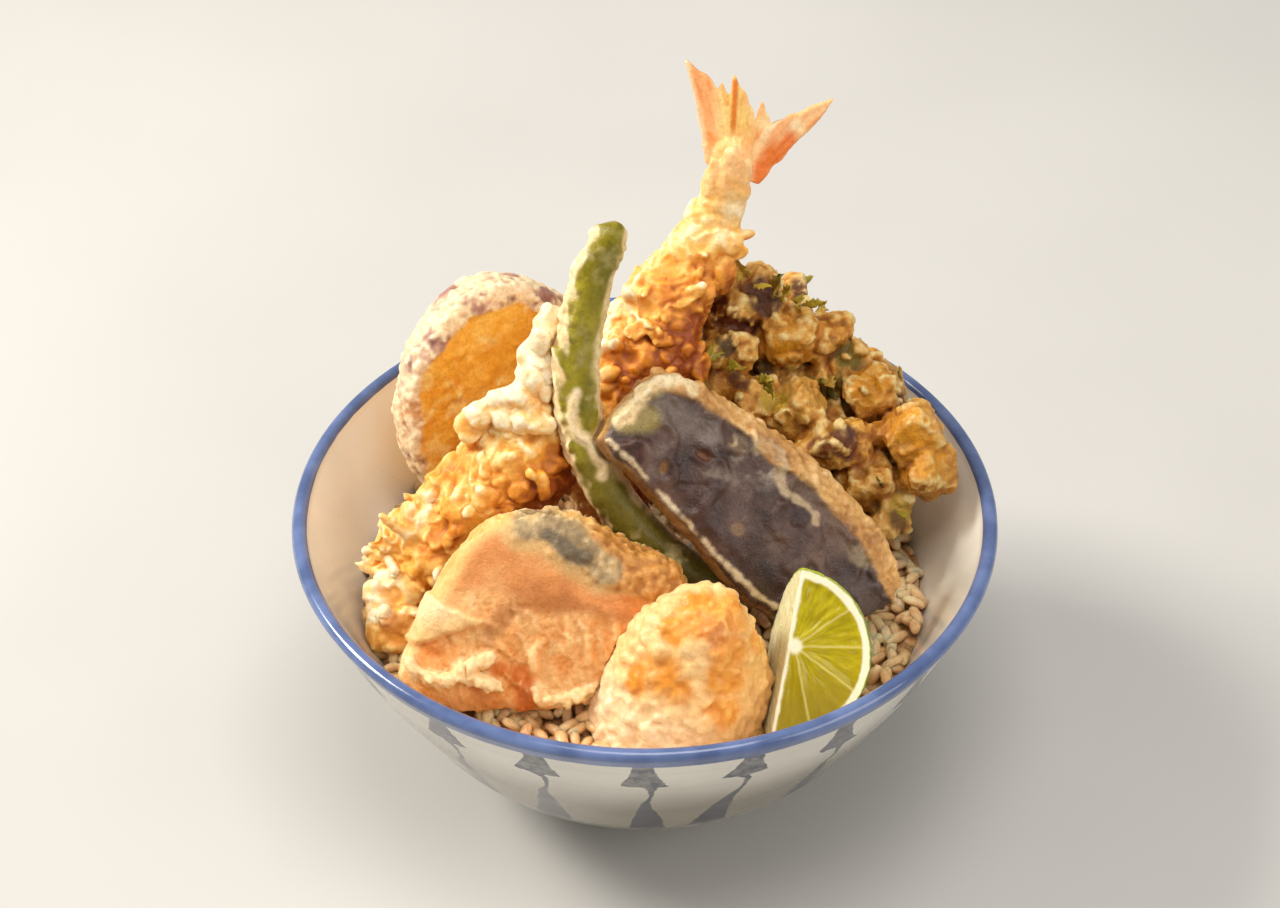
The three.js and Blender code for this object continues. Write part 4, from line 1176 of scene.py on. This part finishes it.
def make_salmon():
    place = SALMON
    base = Base("salmon", 17, 0.7, lambda p: 0.4)
    q, n = place.inside(base.p), place.turned(base.n)
    flat = q[:, :2]
    u, v = q[:, 0], q[:, 1]
    facing = step(-0.2, 0.3, n[:, 2])
    on_crumbs = step(6.5, 4.0, line_distance(flat, CRUMB_LINE)) * facing
    base.add(BALL, 0.4 * on_crumbs, 2.8, (1.3, 1.0, 0.7), (2.4, 1.7, 1.3), 0.6, 0.1)
    base.add(BALL, 0.4 * on_crumbs, 1.6, (0.6, 0.5, 0.5), (1.1, 0.9, 0.8), 0.5, -0.2)
    on_silver = step(4.5, 2.5, line_distance(flat, SILVER_LINE)) * facing
    base.add(BALL, 0.15 * on_silver, 2.4, (1.0, 0.7, 0.3), (1.9, 1.1, 0.45), 0.4, 0.1)
    base.add(BALL, 0.4 * on_silver, 1.2, (0.3, 0.3, 0.3), (0.5, 0.45, 0.4), 0.4, -0.2)
    beside = (1 - facing) * np.maximum(step(2, 10, u), 0.6 * step(-9, -15, v))
    base.add(BALL, 0.08 * beside, 3.4, (1.6, 1.2, 0.7), (3.0, 1.8, 1.1), 0.4, 0.3)
    base.add(BALL, 0.10 * beside, 1.9, (0.6, 0.6, 0.5), (1.1, 1.0, 0.8), 0.4, 0.0)

    def on_face(line, lift):
        return base.snap(place.outside([(*at, SALMON_FACE) for at in line]), lift)

    base.threads(*((on_face(line, 0.1), radii) for line, radii in RIDGES))
    for line, radii in FRILLS:
        fold = on_face(line, 0.9)
        base.threads((fold, radii))
        along = along_spline(fold, np.sort(base.rng.uniform(0, 1, 1 + 2 * len(line))))
        size = base.rng.uniform((0.8, 0.6, 1.2), (1.6, 1.0, 2.2), (len(along), 3))
        hanging = unit(place.axes @ [0, -0.8, 0.4] + base.rng.normal(0, 0.4, (len(along), 3)))
        base.parts.append(copies(BALL, along + 0.7 * hanging, frames_on(base.rng, hanging, size)))
    skin = base.skinned("salmon_batter", 0.45, 3)
    q, m = place.inside(skin.p), place.turned(skin.calm_n)
    flat = q[:, :2]
    u, v = q[:, 0], q[:, 1]
    smooth = step(-4, 1, v + 0.30 * u - 3 + 2.5 * skin.noise(9, 2, 3)) * step(0.2, 0.6, m[:, 2])
    smooth = np.maximum(smooth, step(-14, -20, u) * step(-4, 0, v))
    flap = salmon_flap(u, v, 0.7 * skin.noise(4, 2, 18)) * (m[:, 2] > -0.3)
    along_flesh = np.stack([u + 0.35 * v, 0.42 * (v - 0.35 * u), q[:, 2]], axis=1)
    wrinkle = 0.8 * (0.4 - np.abs(noise(along_flesh, 4.2, 3, 6))) + 0.4 * crisp(skin.p, 2.4, 1.0, 5)
    even = 0.14 * skin.noise(6, 2, 7) + 0.06 * skin.noise(1.4, 2, 26)
    push = (1 - smooth) * wrinkle + smooth * even
    push += 1.2 * step(-0.5, 0.7, flap) * (1 + 0.25 * skin.noise(5, 2, 4))
    skin.push(push)
    skin.calm(12)
    rise = skin.relief
    flesh = ramp(noise(skin.p * [1, 1, 1.6], 9, 3, 8) + 0.8 * step(6, -12, u) - 0.5, (-0.9, 214, 142, 80),
                 (0.0, 236, 164, 102), (0.9, 248, 192, 136))
    seam = step(3.5, 0.5, np.abs(v + 0.30 * u - 1.5 + 2.5 * skin.noise(9, 2, 3))) * step(-9, -4, u)
    flesh = blend(flesh, srgb(186, 118, 58), 0.7 * seam)
    # the rough flesh is darker in its hollows, partly painted shade
    rough = ramp(rise + 0.3 * skin.noise(6, 3, 9), (-0.6, 208, 124, 46), (-0.25, 234, 158, 82),
                 (0.05, 247, 190, 126), (0.4, 253, 226, 178))
    rough = blend(rough, srgb(252, 212, 156), 0.55 * step(0.0, 0.7, noise(along_flesh, 6, 2, 24)))
    colours = blend(rough, flesh, smooth)
    # batter gathered along the left and upper edge
    left_edge = [(-33, -6), (-27, -1), (-19, 12), (-10, 21), (-2, 23)]
    edge = step(5.5, 1.5, line_distance(flat, left_edge) + 1.3 * skin.noise(7, 2, 11))
    colours = blend(colours, srgb(249, 210, 134), 0.8 * edge)
    side = step(0.7, 0.2, m[:, 2])
    side_tones = ramp(rise + 0.3 * skin.noise(5, 2, 20), (-0.5, 228, 152, 66), (0.0, 246, 204, 132),
                      (0.5, 254, 238, 202))
    colours = blend(colours, side_tones, side)
    # the fold of batter is paler toward its upper edge: painted highlight
    flap_tones = ramp(v - 0.2 * u - 4 + 1.5 * skin.noise(5, 2, 19), (-5, 244, 190, 124), (-1, 250, 216, 160),
                      (3, 254, 236, 196))
    colours = blend(colours, flap_tones, 0.95 * step(-0.4, 0.6, flap))
    left_rim = step(-23, -28, u - 0.3 * v) * step(-16, -10, v)
    scorched = line_distance(flat, [(-11, -3.5), (-5.8, 1.2), (0, 2.9), (5, 2.5)])
    scorched = scorched + 1.2 * skin.noise(4, 3, 25)
    # painted shadow: a darker orange patch just below the fold of batter
    below_fold_shade = step(4.6, 2.0, np.hypot(u + 23.5, 1.3 * (v + 6.5)) + 1.5 * skin.noise(4, 2, 17))
    below_fold_shade = below_fold_shade * (1 - step(-0.4, 0.6, flap))
    # painted shade: darker orange along the bottom edge, under the frills
    below = np.interp(u, [-30, -21, -12, -3, 4, 12], [-14, -15.5, -16.5, -19, -20.5, -18.5])
    under = step(0.5, -2.5, v - below + skin.noise(4, 2, 21)) * step(-32, -24, u)
    frill = np.min([line_distance(flat, line) for line, _ in FRILLS], axis=0)
    frill = frill + 0.7 * skin.noise(2.5, 2, 22)
    # painted shade in a cleft and a pit, where they lie deepest
    cleft = line_distance(flat, [(-4.8, -12.8), (-4.2, -16), (-4.4, -22)]) + skin.noise(3, 2, 12)
    pit = np.hypot(u + 9.6, v + 11.2) + 0.6 * skin.noise(3, 2, 12)
    deep = np.maximum(step(3.0, 1.4, cleft), step(2.2, 1.0, pit))
    silver = step(4.8, 2.8, line_distance(flat, SILVER_LINE) + 1.2 * skin.noise(5, 2, 13))
    grey = ramp(skin.noise(3, 3, 14) + 0.8 * rise, (-0.8, 132, 116, 92), (0.0, 178, 160, 128),
                (0.7, 216, 196, 156))
    grey = blend(grey, srgb(242, 228, 190), step(0.06, 0.25, rise))
    streak = line_distance(flat, SILVER_STREAK) + 0.5 * skin.noise(2.5, 2, 23)
    grey = blend(grey, srgb(78, 76, 74), 0.85 * step(2.6, 1.0, streak) * step(0.35, 0.1, rise))
    colours = coated(
        colours,
        (254, 236, 198, 0.8 * left_rim * step(-0.7, 0.2, skin.noise(6, 2, 16))),
        (190, 120, 56, 0.7 * step(3.4, 0.8, scorched)),
        (226, 134, 52, 0.8 * below_fold_shade),
        (206, 128, 58, 0.7 * under),
        (254, 232, 190, step(2.4, 1.2, frill) * step(-0.3, 0.2, rise)),
        (214, 112, 30, 0.85 * deep * step(0.45, 0.0, rise)),
        (222, 196, 140, 0.7 * step(7.5, 4.5, line_distance(flat, SILVER_LINE)) * (1 - side)),
    )
    colours = blend(colours, grey, 0.92 * silver)
    crumby = line_distance(flat, CRUMB_LINE) + 1.0 * skin.noise(5, 2, 15)
    crumby = step(7.0, 5.0, crumby) * (1 - silver)
    # crumbs darker in their hollows, partly painted shade
    brown = ramp(rise, (-0.5, 112, 58, 16), (-0.1, 182, 120, 52), (0.2, 228, 178, 104), (0.5, 252, 230, 178))
    skin.paint(blend(colours, brown, crumby) * [0.92, 0.86, 0.76])
    look = food_look("salmon", 0.9, 1.05, 1.0, (0.3, 0.55), 0.22, 0.3)
    skin.finish(look, "salmon", "salmon")


# ---------------------------------------------------------------- lime

LIME_HUB = (1.4, 2.0)
MEMBRANES = (44, 9, -26, -68)  # degrees round the hub


def make_lime():
    place = Place([29.6, -46.5, 68], 13, 38, -19)
    skin = Skin("lime_quarter", solid_of("lime"), 0.36, 1, 4)
    q = place.inside(skin.p)
    own = skin.mesh.attributes.new("own", "FLOAT_VECTOR", "POINT")
    own.data.foreach_set("vector", q.ravel())
    n = place.turned(skin.calm_n)
    on_cut = step(0.6, 0.9, n[:, 2])
    x, y = q[:, 0] - LIME_HUB[0], q[:, 1] - LIME_HUB[1]
    angle, distance = np.arctan2(y, x), np.hypot(x, y)
    drops = np.stack([angle * 10, distance * 0.22, 0 * angle], axis=1)
    first = cells(drops, 1.0, 5)[0]
    flesh = on_cut * step(16.2, 15.0, np.hypot(q[:, 0], q[:, 1])) * step(1.0, 2.5, distance)
    spokes = [np.abs((angle - math.radians(a) + math.pi) % (2 * math.pi) - math.pi) for a in MEMBRANES]
    sunk = step(0.5, 1.6, np.min(spokes, axis=0) * distance)
    skin.push(flesh * sunk * (0.34 * (0.5 - first) - 0.28) + (1 - on_cut) * 0.10 * skin.noise(1.2, 2, 6))
    skin.finish(lime_look(), "lime", "lime")


def lime_look():
    look = Look("lime", IOR=1.4, Subsurface_Weight=0.2, Subsurface_Scale=0.002,
                Subsurface_Radius=(0.8, 1.0, 0.2))
    own = look.node("Attribute", out="Vector", attribute_name="own")
    x, y, z = look.axes(own)
    from_centre = look.node("VectorMath", {0: own}, out="Value", operation="LENGTH")
    right, up = x - LIME_HUB[0], y - LIME_HUB[1]
    wobble = look.grain(2.5, 2) - 0.5
    spoke = None
    for degrees in MEMBRANES:
        cos, sin = math.cos(math.radians(degrees)), math.sin(math.radians(degrees))
        along, aside = right * cos + up * sin, up * cos - right * sin
        near = look.math("ABSOLUTE", wobble.times_plus(0.6, aside)) + look.span(along, 0.5, -0.5) * 9
        spoke = near if spoke is None else look.math("MINIMUM", spoke, near)
    membrane = look.span(spoke, 0.42, 0.10)
    from_hub = look.node("VectorMath", {0: own, 1: (*LIME_HUB, 0)}, out="Value", operation="DISTANCE")
    hub = look.span(from_hub, 2.2, 0.9)
    left_edge = look.span(wobble.times_plus(0.9, x), 1.1, 0.4)
    rim = wobble.times_plus(0.8, from_centre)
    pith, rind = look.span(rim, 16.0, 16.7), look.span(rim, 17.75, 18.1)
    streak = look.node("CombineXYZ", {0: look.math("ARCTAN2", up, right) * 7, 1: from_centre * 0.20})
    pulp = look.node("TexNoise", {"Vector": streak, "Scale": 1.3, "Detail": 2}, out="Fac")
    flesh = look.mix(look.span(pulp, 0.3, 0.7), srgb(166, 148, 0), srgb(192, 176, 8))
    flesh = look.mix(look.span(y, 6, -12, 0, 0.8), flesh, srgb(148, 126, 0))
    pale = look.mix(look.grain(2, 2), srgb(244, 236, 198), srgb(252, 246, 222))
    inner = look.mix(membrane * 0.55, flesh, srgb(222, 208, 130))
    inner = look.mix(look.math("MAXIMUM", hub, left_edge), inner, pale)
    inner = look.mix(pith, inner, pale)
    # the other cut face, at its back left, is pale membrane
    behind = look.span(x, 0.9, 0.2) * look.span(z, -0.4, -1.2)
    inner = look.mix(behind, inner, look.mix(look.grain(3, 3), srgb(226, 220, 160), srgb(240, 234, 196)))
    skin_tone = look.mix(look.grain(1.3, 3), srgb(86, 108, 10), srgb(140, 156, 26))
    skin_tone = look.mix(look.span(y + z * 0.5, 8, 16, 0, 0.6), skin_tone, srgb(186, 194, 60))
    look.link(look.mix(rind, inner, skin_tone), "Base Color")
    look.link(rind.times_plus(0.12, look.span(pulp, 0.2, 0.8, 0.12, 0.3)), "Roughness")
    pits = look.node("TexVoronoi", {"Vector": look.place(), "Scale": 1 / (0.9 * MM)}, out="Distance")
    look.bump(pits * rind + pulp * 0.4, 0.16)
    return look.material


# ---------------------------------------------------------------- fritter

# Diced vegetables: x, y, z, half size, turn, and what each one is.
DICE = [
    (25, 37, 99, 6.5, 20, "aubergine"), (19, 35, 97.5, 6, 50, "aubergine"), (32, 32, 91.5, 6, 5, "corn"),
    (18, 29, 90, 5.5, 70, "aubergine"), (18.5, 24, 84, 5, 30, "plain"), (24.5, 20, 82, 5, 15, "plain"),
    (33.5, 19, 80.5, 6, 40, "pale"), (44.5, 14, 75.5, 6, 65, "aubergine"), (49.5, 10, 67.5, 6.5, 10, "plain"),
    (59.5, 14, 78, 6, 35, "corn"), (62.5, 10, 71, 6, 55, "corn"), (50, 25, 81, 6, 25, "corn"),
    (40.5, 34, 88.5, 5.5, 75, "plain"), (46, 31, 83.5, 5, 20, "green"), (54, 5, 62, 5, 60, "green"),
    (39, 12, 76, 5, 45, "plain"), (31, 43, 90, 6.5, 80, "plain"), (42, 43, 80, 6.5, 18, "corn"),
    (52, 36, 72, 6.5, 48, "corn"), (21, 46, 87, 6.5, 33, "plain"), (60, 25, 69, 6, 8, "plain"),
    (33, 51, 75, 6.5, 52, "green"),
]
# What shows through the batter, and how much of it.
INSIDES = {
    "plain": (srgb(210, 146, 60), 0.4), "corn": (srgb(230, 164, 50), 0.5), "pale": (srgb(230, 200, 120), 0.5),
    "green": (srgb(150, 136, 70), 0.5), "aubergine": (srgb(150, 92, 48), 0.5),
}
# Fritter batter from its hollows to its peaks; the dark hollows are partly painted shade, the pale peaks
# partly painted highlight.
FRITTER_BATTER = ((-1.6, 84, 40, 0), (-0.9, 158, 86, 6), (-0.2, 206, 136, 34),
                  (0.5, 240, 188, 100), (1.3, 254, 236, 188))

# Where the batter of the fritter is open: place, radius and what shows there.
SKIN_PURPLE, SKIN_RED, YELLOW = srgb(90, 50, 38), srgb(98, 36, 12), srgb(240, 172, 40)
YELLOW_GREEN, GREEN, DARK_GREEN = srgb(208, 178, 56), srgb(132, 118, 42), srgb(66, 52, 6)
BROWN = srgb(120, 66, 8)
BARE_SPOTS = [
    (26.3, 31.8, 102.7, 4.0, SKIN_PURPLE), (17, 28.5, 99.5, 4.2, SKIN_RED), (21.5, 29.2, 96.2, 3.6, SKIN_RED),
    (43.3, 8.6, 79.6, 4.2, SKIN_RED), (45.5, 9.5, 82, 2.4, SKIN_PURPLE), (29.9, 25.5, 92.5, 3.4, YELLOW),
    (28.6, 16.9, 85.4, 3.2, YELLOW_GREEN), (50.3, 22.1, 86.0, 5.0, YELLOW), (58.1, 10.5, 83.4, 4.2, YELLOW),
    (62.5, 6.6, 77.0, 4.6, YELLOW), (45.7, 30, 88, 3.6, GREEN), (42.7, 26, 80.8, 4.2, GREEN),
    (25.1, 30, 85, 4.4, DARK_GREEN), (17.7, 24.8, 94.2, 2.6, DARK_GREEN), (57, 3, 65, 3.4, YELLOW_GREEN),
    (21.0, 20.6, 87.9, 3.0, BROWN), (38.4, 6.7, 79.4, 3.0, BROWN), (56.4, -0.2, 62.1, 3.6, srgb(120, 80, 24)),
    (36, 44, 94, 4.0, SKIN_PURPLE), (48, 40, 80, 4.4, YELLOW), (26, 50, 88, 4.0, YELLOW_GREEN),
    (58, 28, 74, 4.0, SKIN_RED),
]


def die_axes(turn):
    a, b = math.radians(turn), math.radians(2.3 * turn)
    about_z = np.array([[math.cos(a), -math.sin(a), 0], [math.sin(a), math.cos(a), 0], [0, 0, 1]])
    about_x = np.array([[1, 0, 0], [0, math.cos(b), -math.sin(b)], [0, math.sin(b), math.cos(b)]])
    return about_x @ about_z


def rounded_cube():
    points, faces = ball(3)
    corner = np.sum(points**8, axis=1) ** (-1 / 8)
    return points * corner[:, None], faces


def make_fritter():
    base = Base("vegetable_fritter", 18, 0.9, lambda p: 2.0)
    rng = base.rng
    centres = np.array([d[:3] for d in DICE], float)
    halves = np.array([d[3] for d in DICE]) * 0.90
    axes = np.array([die_axes(d[4]) for d in DICE])
    kinds = [d[5] for d in DICE]
    # smaller bits between the dice
    bits = base.p[spots(rng, base.p, 0.05 * np.ones(len(base.p)), 6.0)]
    centres = np.concatenate([centres, bits])
    halves = np.concatenate([halves, rng.uniform(1.8, 3.0, len(bits))])
    axes = np.concatenate([axes, [die_axes(t) for t in rng.uniform(0, 90, len(bits))]])
    kinds += list(rng.choice(["plain", "plain", "plain", "corn", "green", "pale"], len(bits)))
    sizes = halves[:, None] * rng.uniform(0.85, 1.08, (len(centres), 3))
    cubes = copies(rounded_cube(), centres, axes * sizes[:, None, :])
    cube_points = cubes[0] + 0.5 * np.stack([noise(cubes[0], 4.5, 2, k) for k in (1, 2, 3)], axis=1)
    middle = Place([40, 29, 71], 25, 42)
    core_sizes = [[[20, 19, 9]], [[9, 9, 11]]]
    core = copies(BALL, np.array([middle.centre, [26, 38, 86]]), middle.axes[None] * core_sizes)
    base.parts = [core, (cube_points, cubes[1])]
    outer = np.linalg.norm(base.p[:, None] - centres[None, : len(DICE)], axis=2).min(axis=1)
    base.p = base.p + 1.6 * base.n
    on_dice = step(8.5, 6.5, outer)
    base.add(BALL, 0.03 * on_dice, 5.0, (1.4, 1.1, 0.5), (2.4, 1.6, 0.9), 0.4, 0.8)
    base.add(FLAKE, 0.02 * on_dice, 6.0, (1.2, 0.8, 0.4), (2.2, 1.2, 0.5), 0.9, 0.4)
    base.add(BALL, 0.10 * on_dice, 2.8, (0.8, 0.6, 0.4), (1.5, 1.0, 0.6), 0.5, 1.0)
    skin = base.skinned("vegetable_fritter_batter", 0.53, 1)
    skin.push(crisp(skin.p, 2.6, 0.55, 51) + 0.14 * skin.noise(1.2, 2, 52))
    own, local, gap = which_die(skin.p, centres, sizes, axes)
    # painted light: faces turned up are paler, the rest deeper
    batter = crust(skin, FRITTER_BATTER, 0.15 - 0.3 * step(0.2, 0.9, skin.calm_n[:, 2]), 81, 0.55)
    luck = rng.uniform(0.88, 1.08, len(centres))[own]
    sides = np.sort(np.abs(local), axis=1)
    on_side = step(0.86, 0.66, sides[:, 1]) * step(0.3, -0.1, skin.relief)
    tint = np.array([INSIDES[kind][0] for kind in kinds])[own]
    share = np.array([INSIDES[kind][1] for kind in kinds])[own]
    colours = blend(batter, tint * (1 + 0.25 * skin.noise(2.5, 2, 84))[:, None], share * on_side)
    for x, y, z, radius, tone in BARE_SPOTS:
        away = np.linalg.norm(skin.p - [x, y, z], axis=1) / radius + 0.35 * skin.noise(3.5, 2, int(x + z))
        mottled = tone * (1 + 0.2 * skin.noise(2, 2, int(y + z)))[:, None]
        colours = blend(colours, mottled, 0.9 * step(1.15, 0.75, away) * step(0.6, 0.1, skin.relief))
    skin.calm(160)
    # painted shade: darker in deep hollows and in the seams between dice
    hollow = step(0.3, -2.2, skin.relief + 0.4 * skin.noise(3, 2, 86))
    seam = step(0.14, 0.02, gap + 0.05 * skin.noise(3, 2, 85)) * step(0.8, -0.2, skin.relief)
    darkening = np.maximum(0.75 * hollow, 0.55 * seam)[:, None] * [0.45, 0.62, 0.85]
    colours = colours * luck[:, None] * (1 - darkening)
    # painted shadow of the upright shrimp on the part beside it, and painted shade low on the right
    beside_shrimp = step(8, 0, skin.p[:, 0] - 14 + 0.3 * (skin.p[:, 2] - 90))
    low_right = step(84, 70, skin.p[:, 2]) * step(36, 48, skin.p[:, 0])
    skin.paint(colours * (0.8 - 0.18 * beside_shrimp - 0.14 * low_right)[:, None] * [1.0, 0.93, 0.7])
    skin.finish(batter_look("fritter", 0.2, 0.3), "fritter", "vegetable_fritter")


def which_die(p, centres, sizes, axes):
    """Each point's nearest die, its place in it in half sizes, and how much farther the next one is."""
    near, after = np.full(len(p), 99.0), np.full(len(p), 99.0)
    own, local = np.zeros(len(p), int), np.zeros((len(p), 3))
    for k in range(len(centres)):
        q = (p - centres[k]) @ axes[k] / sizes[k]
        d = np.sum(q**6, axis=1) ** (1 / 6)
        closer = d < near
        after = np.where(closer, near, np.minimum(after, d))
        near = np.where(closer, d, near)
        own[closer], local[closer] = k, q[closer]
    return own, local, after - near


# Leaves in the fritter: where each one's stalk is, its heading and how long it is.
LEAVES = [
    ((22, 33, 107), (-0.3, -0.5, 0.8), 9), ((24, 31, 106), (0.5, -0.3, 0.7), 7),
    ((29, 32, 103), (0.1, -0.2, 1.0), 10), ((30, 31, 102), (0.7, -0.1, 0.8), 8),
    ((33, 37, 98), (0.4, -0.7, 0.2), 9), ((35, 36, 97), (0.8, -0.4, 0.1), 8),
    ((34, 35, 96), (-0.5, -0.7, -0.2), 8), ((46, 34, 87), (0.6, -0.6, 0.2), 8),
    ((47, 33, 86), (0.2, -0.8, -0.3), 8), ((40, 27, 84), (0.3, -0.8, 0.1), 8),
    ((39, 27, 83), (-0.6, -0.6, 0.0), 8), ((41, 26, 82), (0.1, -0.7, -0.6), 7),
    ((16, 24, 94), (-0.3, -0.8, 0.2), 8), ((19, 23, 92), (0.4, -0.8, -0.1), 9),
    ((25, 15, 92), (0.3, -0.7, 0.5), 8), ((26, 16, 90), (0.7, -0.6, 0.0), 8),
    ((56, 1, 67), (0.3, -0.6, 0.3), 7), ((52, 6, 71), (-0.4, -0.8, 0.3), 7),
    ((55, 33, 76), (0.6, 0.3, 0.6), 8), ((40, 51, 80), (0.1, 0.8, 0.4), 9),
    ((28, 52, 83), (-0.5, 0.8, 0.2), 8), ((60, 20, 76), (0.7, 0.1, 0.6), 7),
    ((35, 45, 92), (0.3, 0.6, 0.6), 9),
]


def leaf_shape(rng):
    """A thin toothed leaf one unit long from its stalk, curled a little; a closed solid."""
    length, width = 12, 6
    points = []
    curl, twist, fold = rng.uniform(-0.6, 0.6), rng.uniform(-0.8, 0.8), rng.uniform(0.3, 0.9)
    for i in range(length + 1):
        t = i / length
        half = 0.27 * math.sin(math.pi * t**0.8) ** 0.8 * (1 + 0.35 * math.sin(t * 30)) + 0.015
        for j in range(-width, width + 1):
            s = j / width
            ripple = 0.05 * math.sin(t * 9 + twist * 5 + s * 3)
            points.append((t, half * s, fold * abs(s) * half + curl * t * t + ripple))
    points = np.array(points)
    row = 2 * width + 1
    faces, count = [], len(points)
    for i in range(length):
        for j in range(row - 1):
            a, b = i * row + j, (i + 1) * row + j
            faces.append((a, a + 1, b + 1, b))
            faces.append((count + a, count + b, count + b + 1, count + a + 1))
    edge = list(range(row)) + [i * row + row - 1 for i in range(1, length + 1)]
    edge += [length * row + j for j in range(row - 2, -1, -1)] + [i * row for i in range(length - 1, 0, -1)]
    for a, b in zip(edge, edge[1:] + edge[:1]):
        faces.append((a, count + a, count + b, b))
    return np.concatenate([points, points + [0, 0, -0.045]]), faces


def make_leaves():
    rng = np.random.default_rng(19)
    solids, tones = [], []
    for stalk, heading, length in LEAVES:
        length = 0.66 * length
        front = unit(np.array(heading, float))
        side = unit(np.cross(front, rng.normal(size=3)))
        up = np.cross(front, side)
        points, faces = leaf_shape(rng)
        solids.append((np.array(stalk) + (points @ np.array([front, side, up])) * length, faces))
        rib = np.abs(points[:, 1])
        tones.append(np.stack([rib, np.full(len(points), rng.random())], axis=1))
    points, faces = together(*solids)
    tones = np.concatenate(tones)
    o = new_object("fritter_leaves", points, faces)
    lit = step(90, 102, points[:, 2])
    colours = blend(srgb(70, 62, 8), srgb(138, 124, 26), tones[:, 1] + 0.3 * noise(points, 2, 2, 6))
    colours = coated(
        colours,
        (190, 166, 44, 0.9 * lit * step(-0.2, 0.5, tones[:, 1])),
        (180, 164, 76, step(0.05, 0.01, tones[:, 0]) * 0.5),
        (196, 152, 66, 0.7 * step(0.1, 0.7, noise(points, 4, 2, 7))),
    )
    paint(o.data, colours)
    hand_over(o, food_look("fried_leaf", 0.75, 1.15, 0.7, (0.25, 0.5), 0.1), "fritter")


FOODS = [make_upright_shrimp, make_leaning_shrimp, make_shrimp_tail, make_green_pepper, make_sweet_potato,
         make_eggplant, make_radish, make_salmon, make_lime, make_fritter, make_leaves]


# ---------------------------------------------------------------- room

FLOOR = 3000  # half its width, in millimetres
HORIZON = ((0.44, (0.25, 0.24, 0.23, 1)), (0.51, (0.92, 0.90, 0.87, 1)))  # from dark below to light above
WORLD_STRENGTH = 0.42
# Name, where, how wide, watts, colour: a soft key from the back left, one above, a weak fill at the right.
LIGHTS = [("key", (-0.88, 0.22, 0.82), 0.42, 16.0, (1.0, 0.94, 0.84)),
          ("top", (0.05, -0.22, 1.20), 0.60, 6.5, (1.0, 0.96, 0.90)),
          ("fill", (0.80, -0.45, 0.55), 0.60, 3.6, (1.0, 0.95, 0.88))]
LIGHTS_AIM = Vector((0, 0, 0.07))


def make_room():
    corners = [(-FLOOR, -FLOOR, 0), (FLOOR, -FLOOR, 0), (FLOOR, FLOOR, 0), (-FLOOR, FLOOR, 0)]
    floor = new_object("floor", corners, [(0, 1, 2, 3)])
    plain = Look("floor", Roughness=0.8)
    tone = plain.mix(plain.span(plain.grain(220, 3), 0.3, 0.7), srgb(190, 189, 187), srgb(198, 197, 195))
    plain.link(tone, "Base Color")
    floor.data.materials.append(plain.material)

    world = bpy.data.worlds.new("room")
    bpy.context.scene.world = world
    world.use_nodes = True
    nodes, links = world.node_tree.nodes, world.node_tree.links
    shade = nodes.new("ShaderNodeValToRGB")
    for stop, (shade_at, shade_colour) in zip(shade.color_ramp.elements, HORIZON):
        stop.position, stop.color = shade_at, shade_colour
    height = nodes.new("ShaderNodeSeparateXYZ")
    links.new(nodes.new("ShaderNodeTexCoord").outputs["Generated"], height.inputs[0])
    half = nodes.new("ShaderNodeMath")
    half.operation = "MULTIPLY_ADD"
    half.inputs[1].default_value = half.inputs[2].default_value = 0.5
    links.new(height.outputs["Z"], half.inputs[0])
    links.new(half.outputs[0], shade.inputs[0])
    links.new(shade.outputs[0], nodes["Background"].inputs["Color"])
    nodes["Background"].inputs["Strength"].default_value = WORLD_STRENGTH
    for name, spot, size, power, colour in LIGHTS:
        light = bpy.data.lights.new(name, "AREA")
        light.size, light.energy, light.color = size, power, colour
        o = bpy.data.objects.new(name, light)
        o.location = spot
        o.rotation_euler = (LIGHTS_AIM - o.location).to_track_quat("-Z", "Y").to_euler()
        bpy.context.scene.collection.objects.link(o)
    bpy.context.scene.view_settings.view_transform = "Standard"


CAMERA_ELEVATION = math.radians(39.78)
CAMERA_DISTANCE = 0.700
CAMERA_AIM = Vector((0, 0, 0.0838))


def make_camera():
    camera = bpy.data.objects.new("camera", bpy.data.cameras.new("camera"))
    back = Vector((0, -math.cos(CAMERA_ELEVATION), math.sin(CAMERA_ELEVATION)))
    camera.location = CAMERA_AIM + back * CAMERA_DISTANCE
    camera.rotation_euler = (-back).to_track_quat("-Z", "Y").to_euler()
    camera.data.sensor_width = 36
    camera.data.lens = 90.76
    camera.data.shift_x = -0.0039
    camera.data.clip_start = 0.01
    bpy.context.scene.collection.objects.link(camera)
    bpy.context.scene.camera = camera


make_camera()
make_room()
make_bowl()
make_rice()
for make in FOODS:
    make()
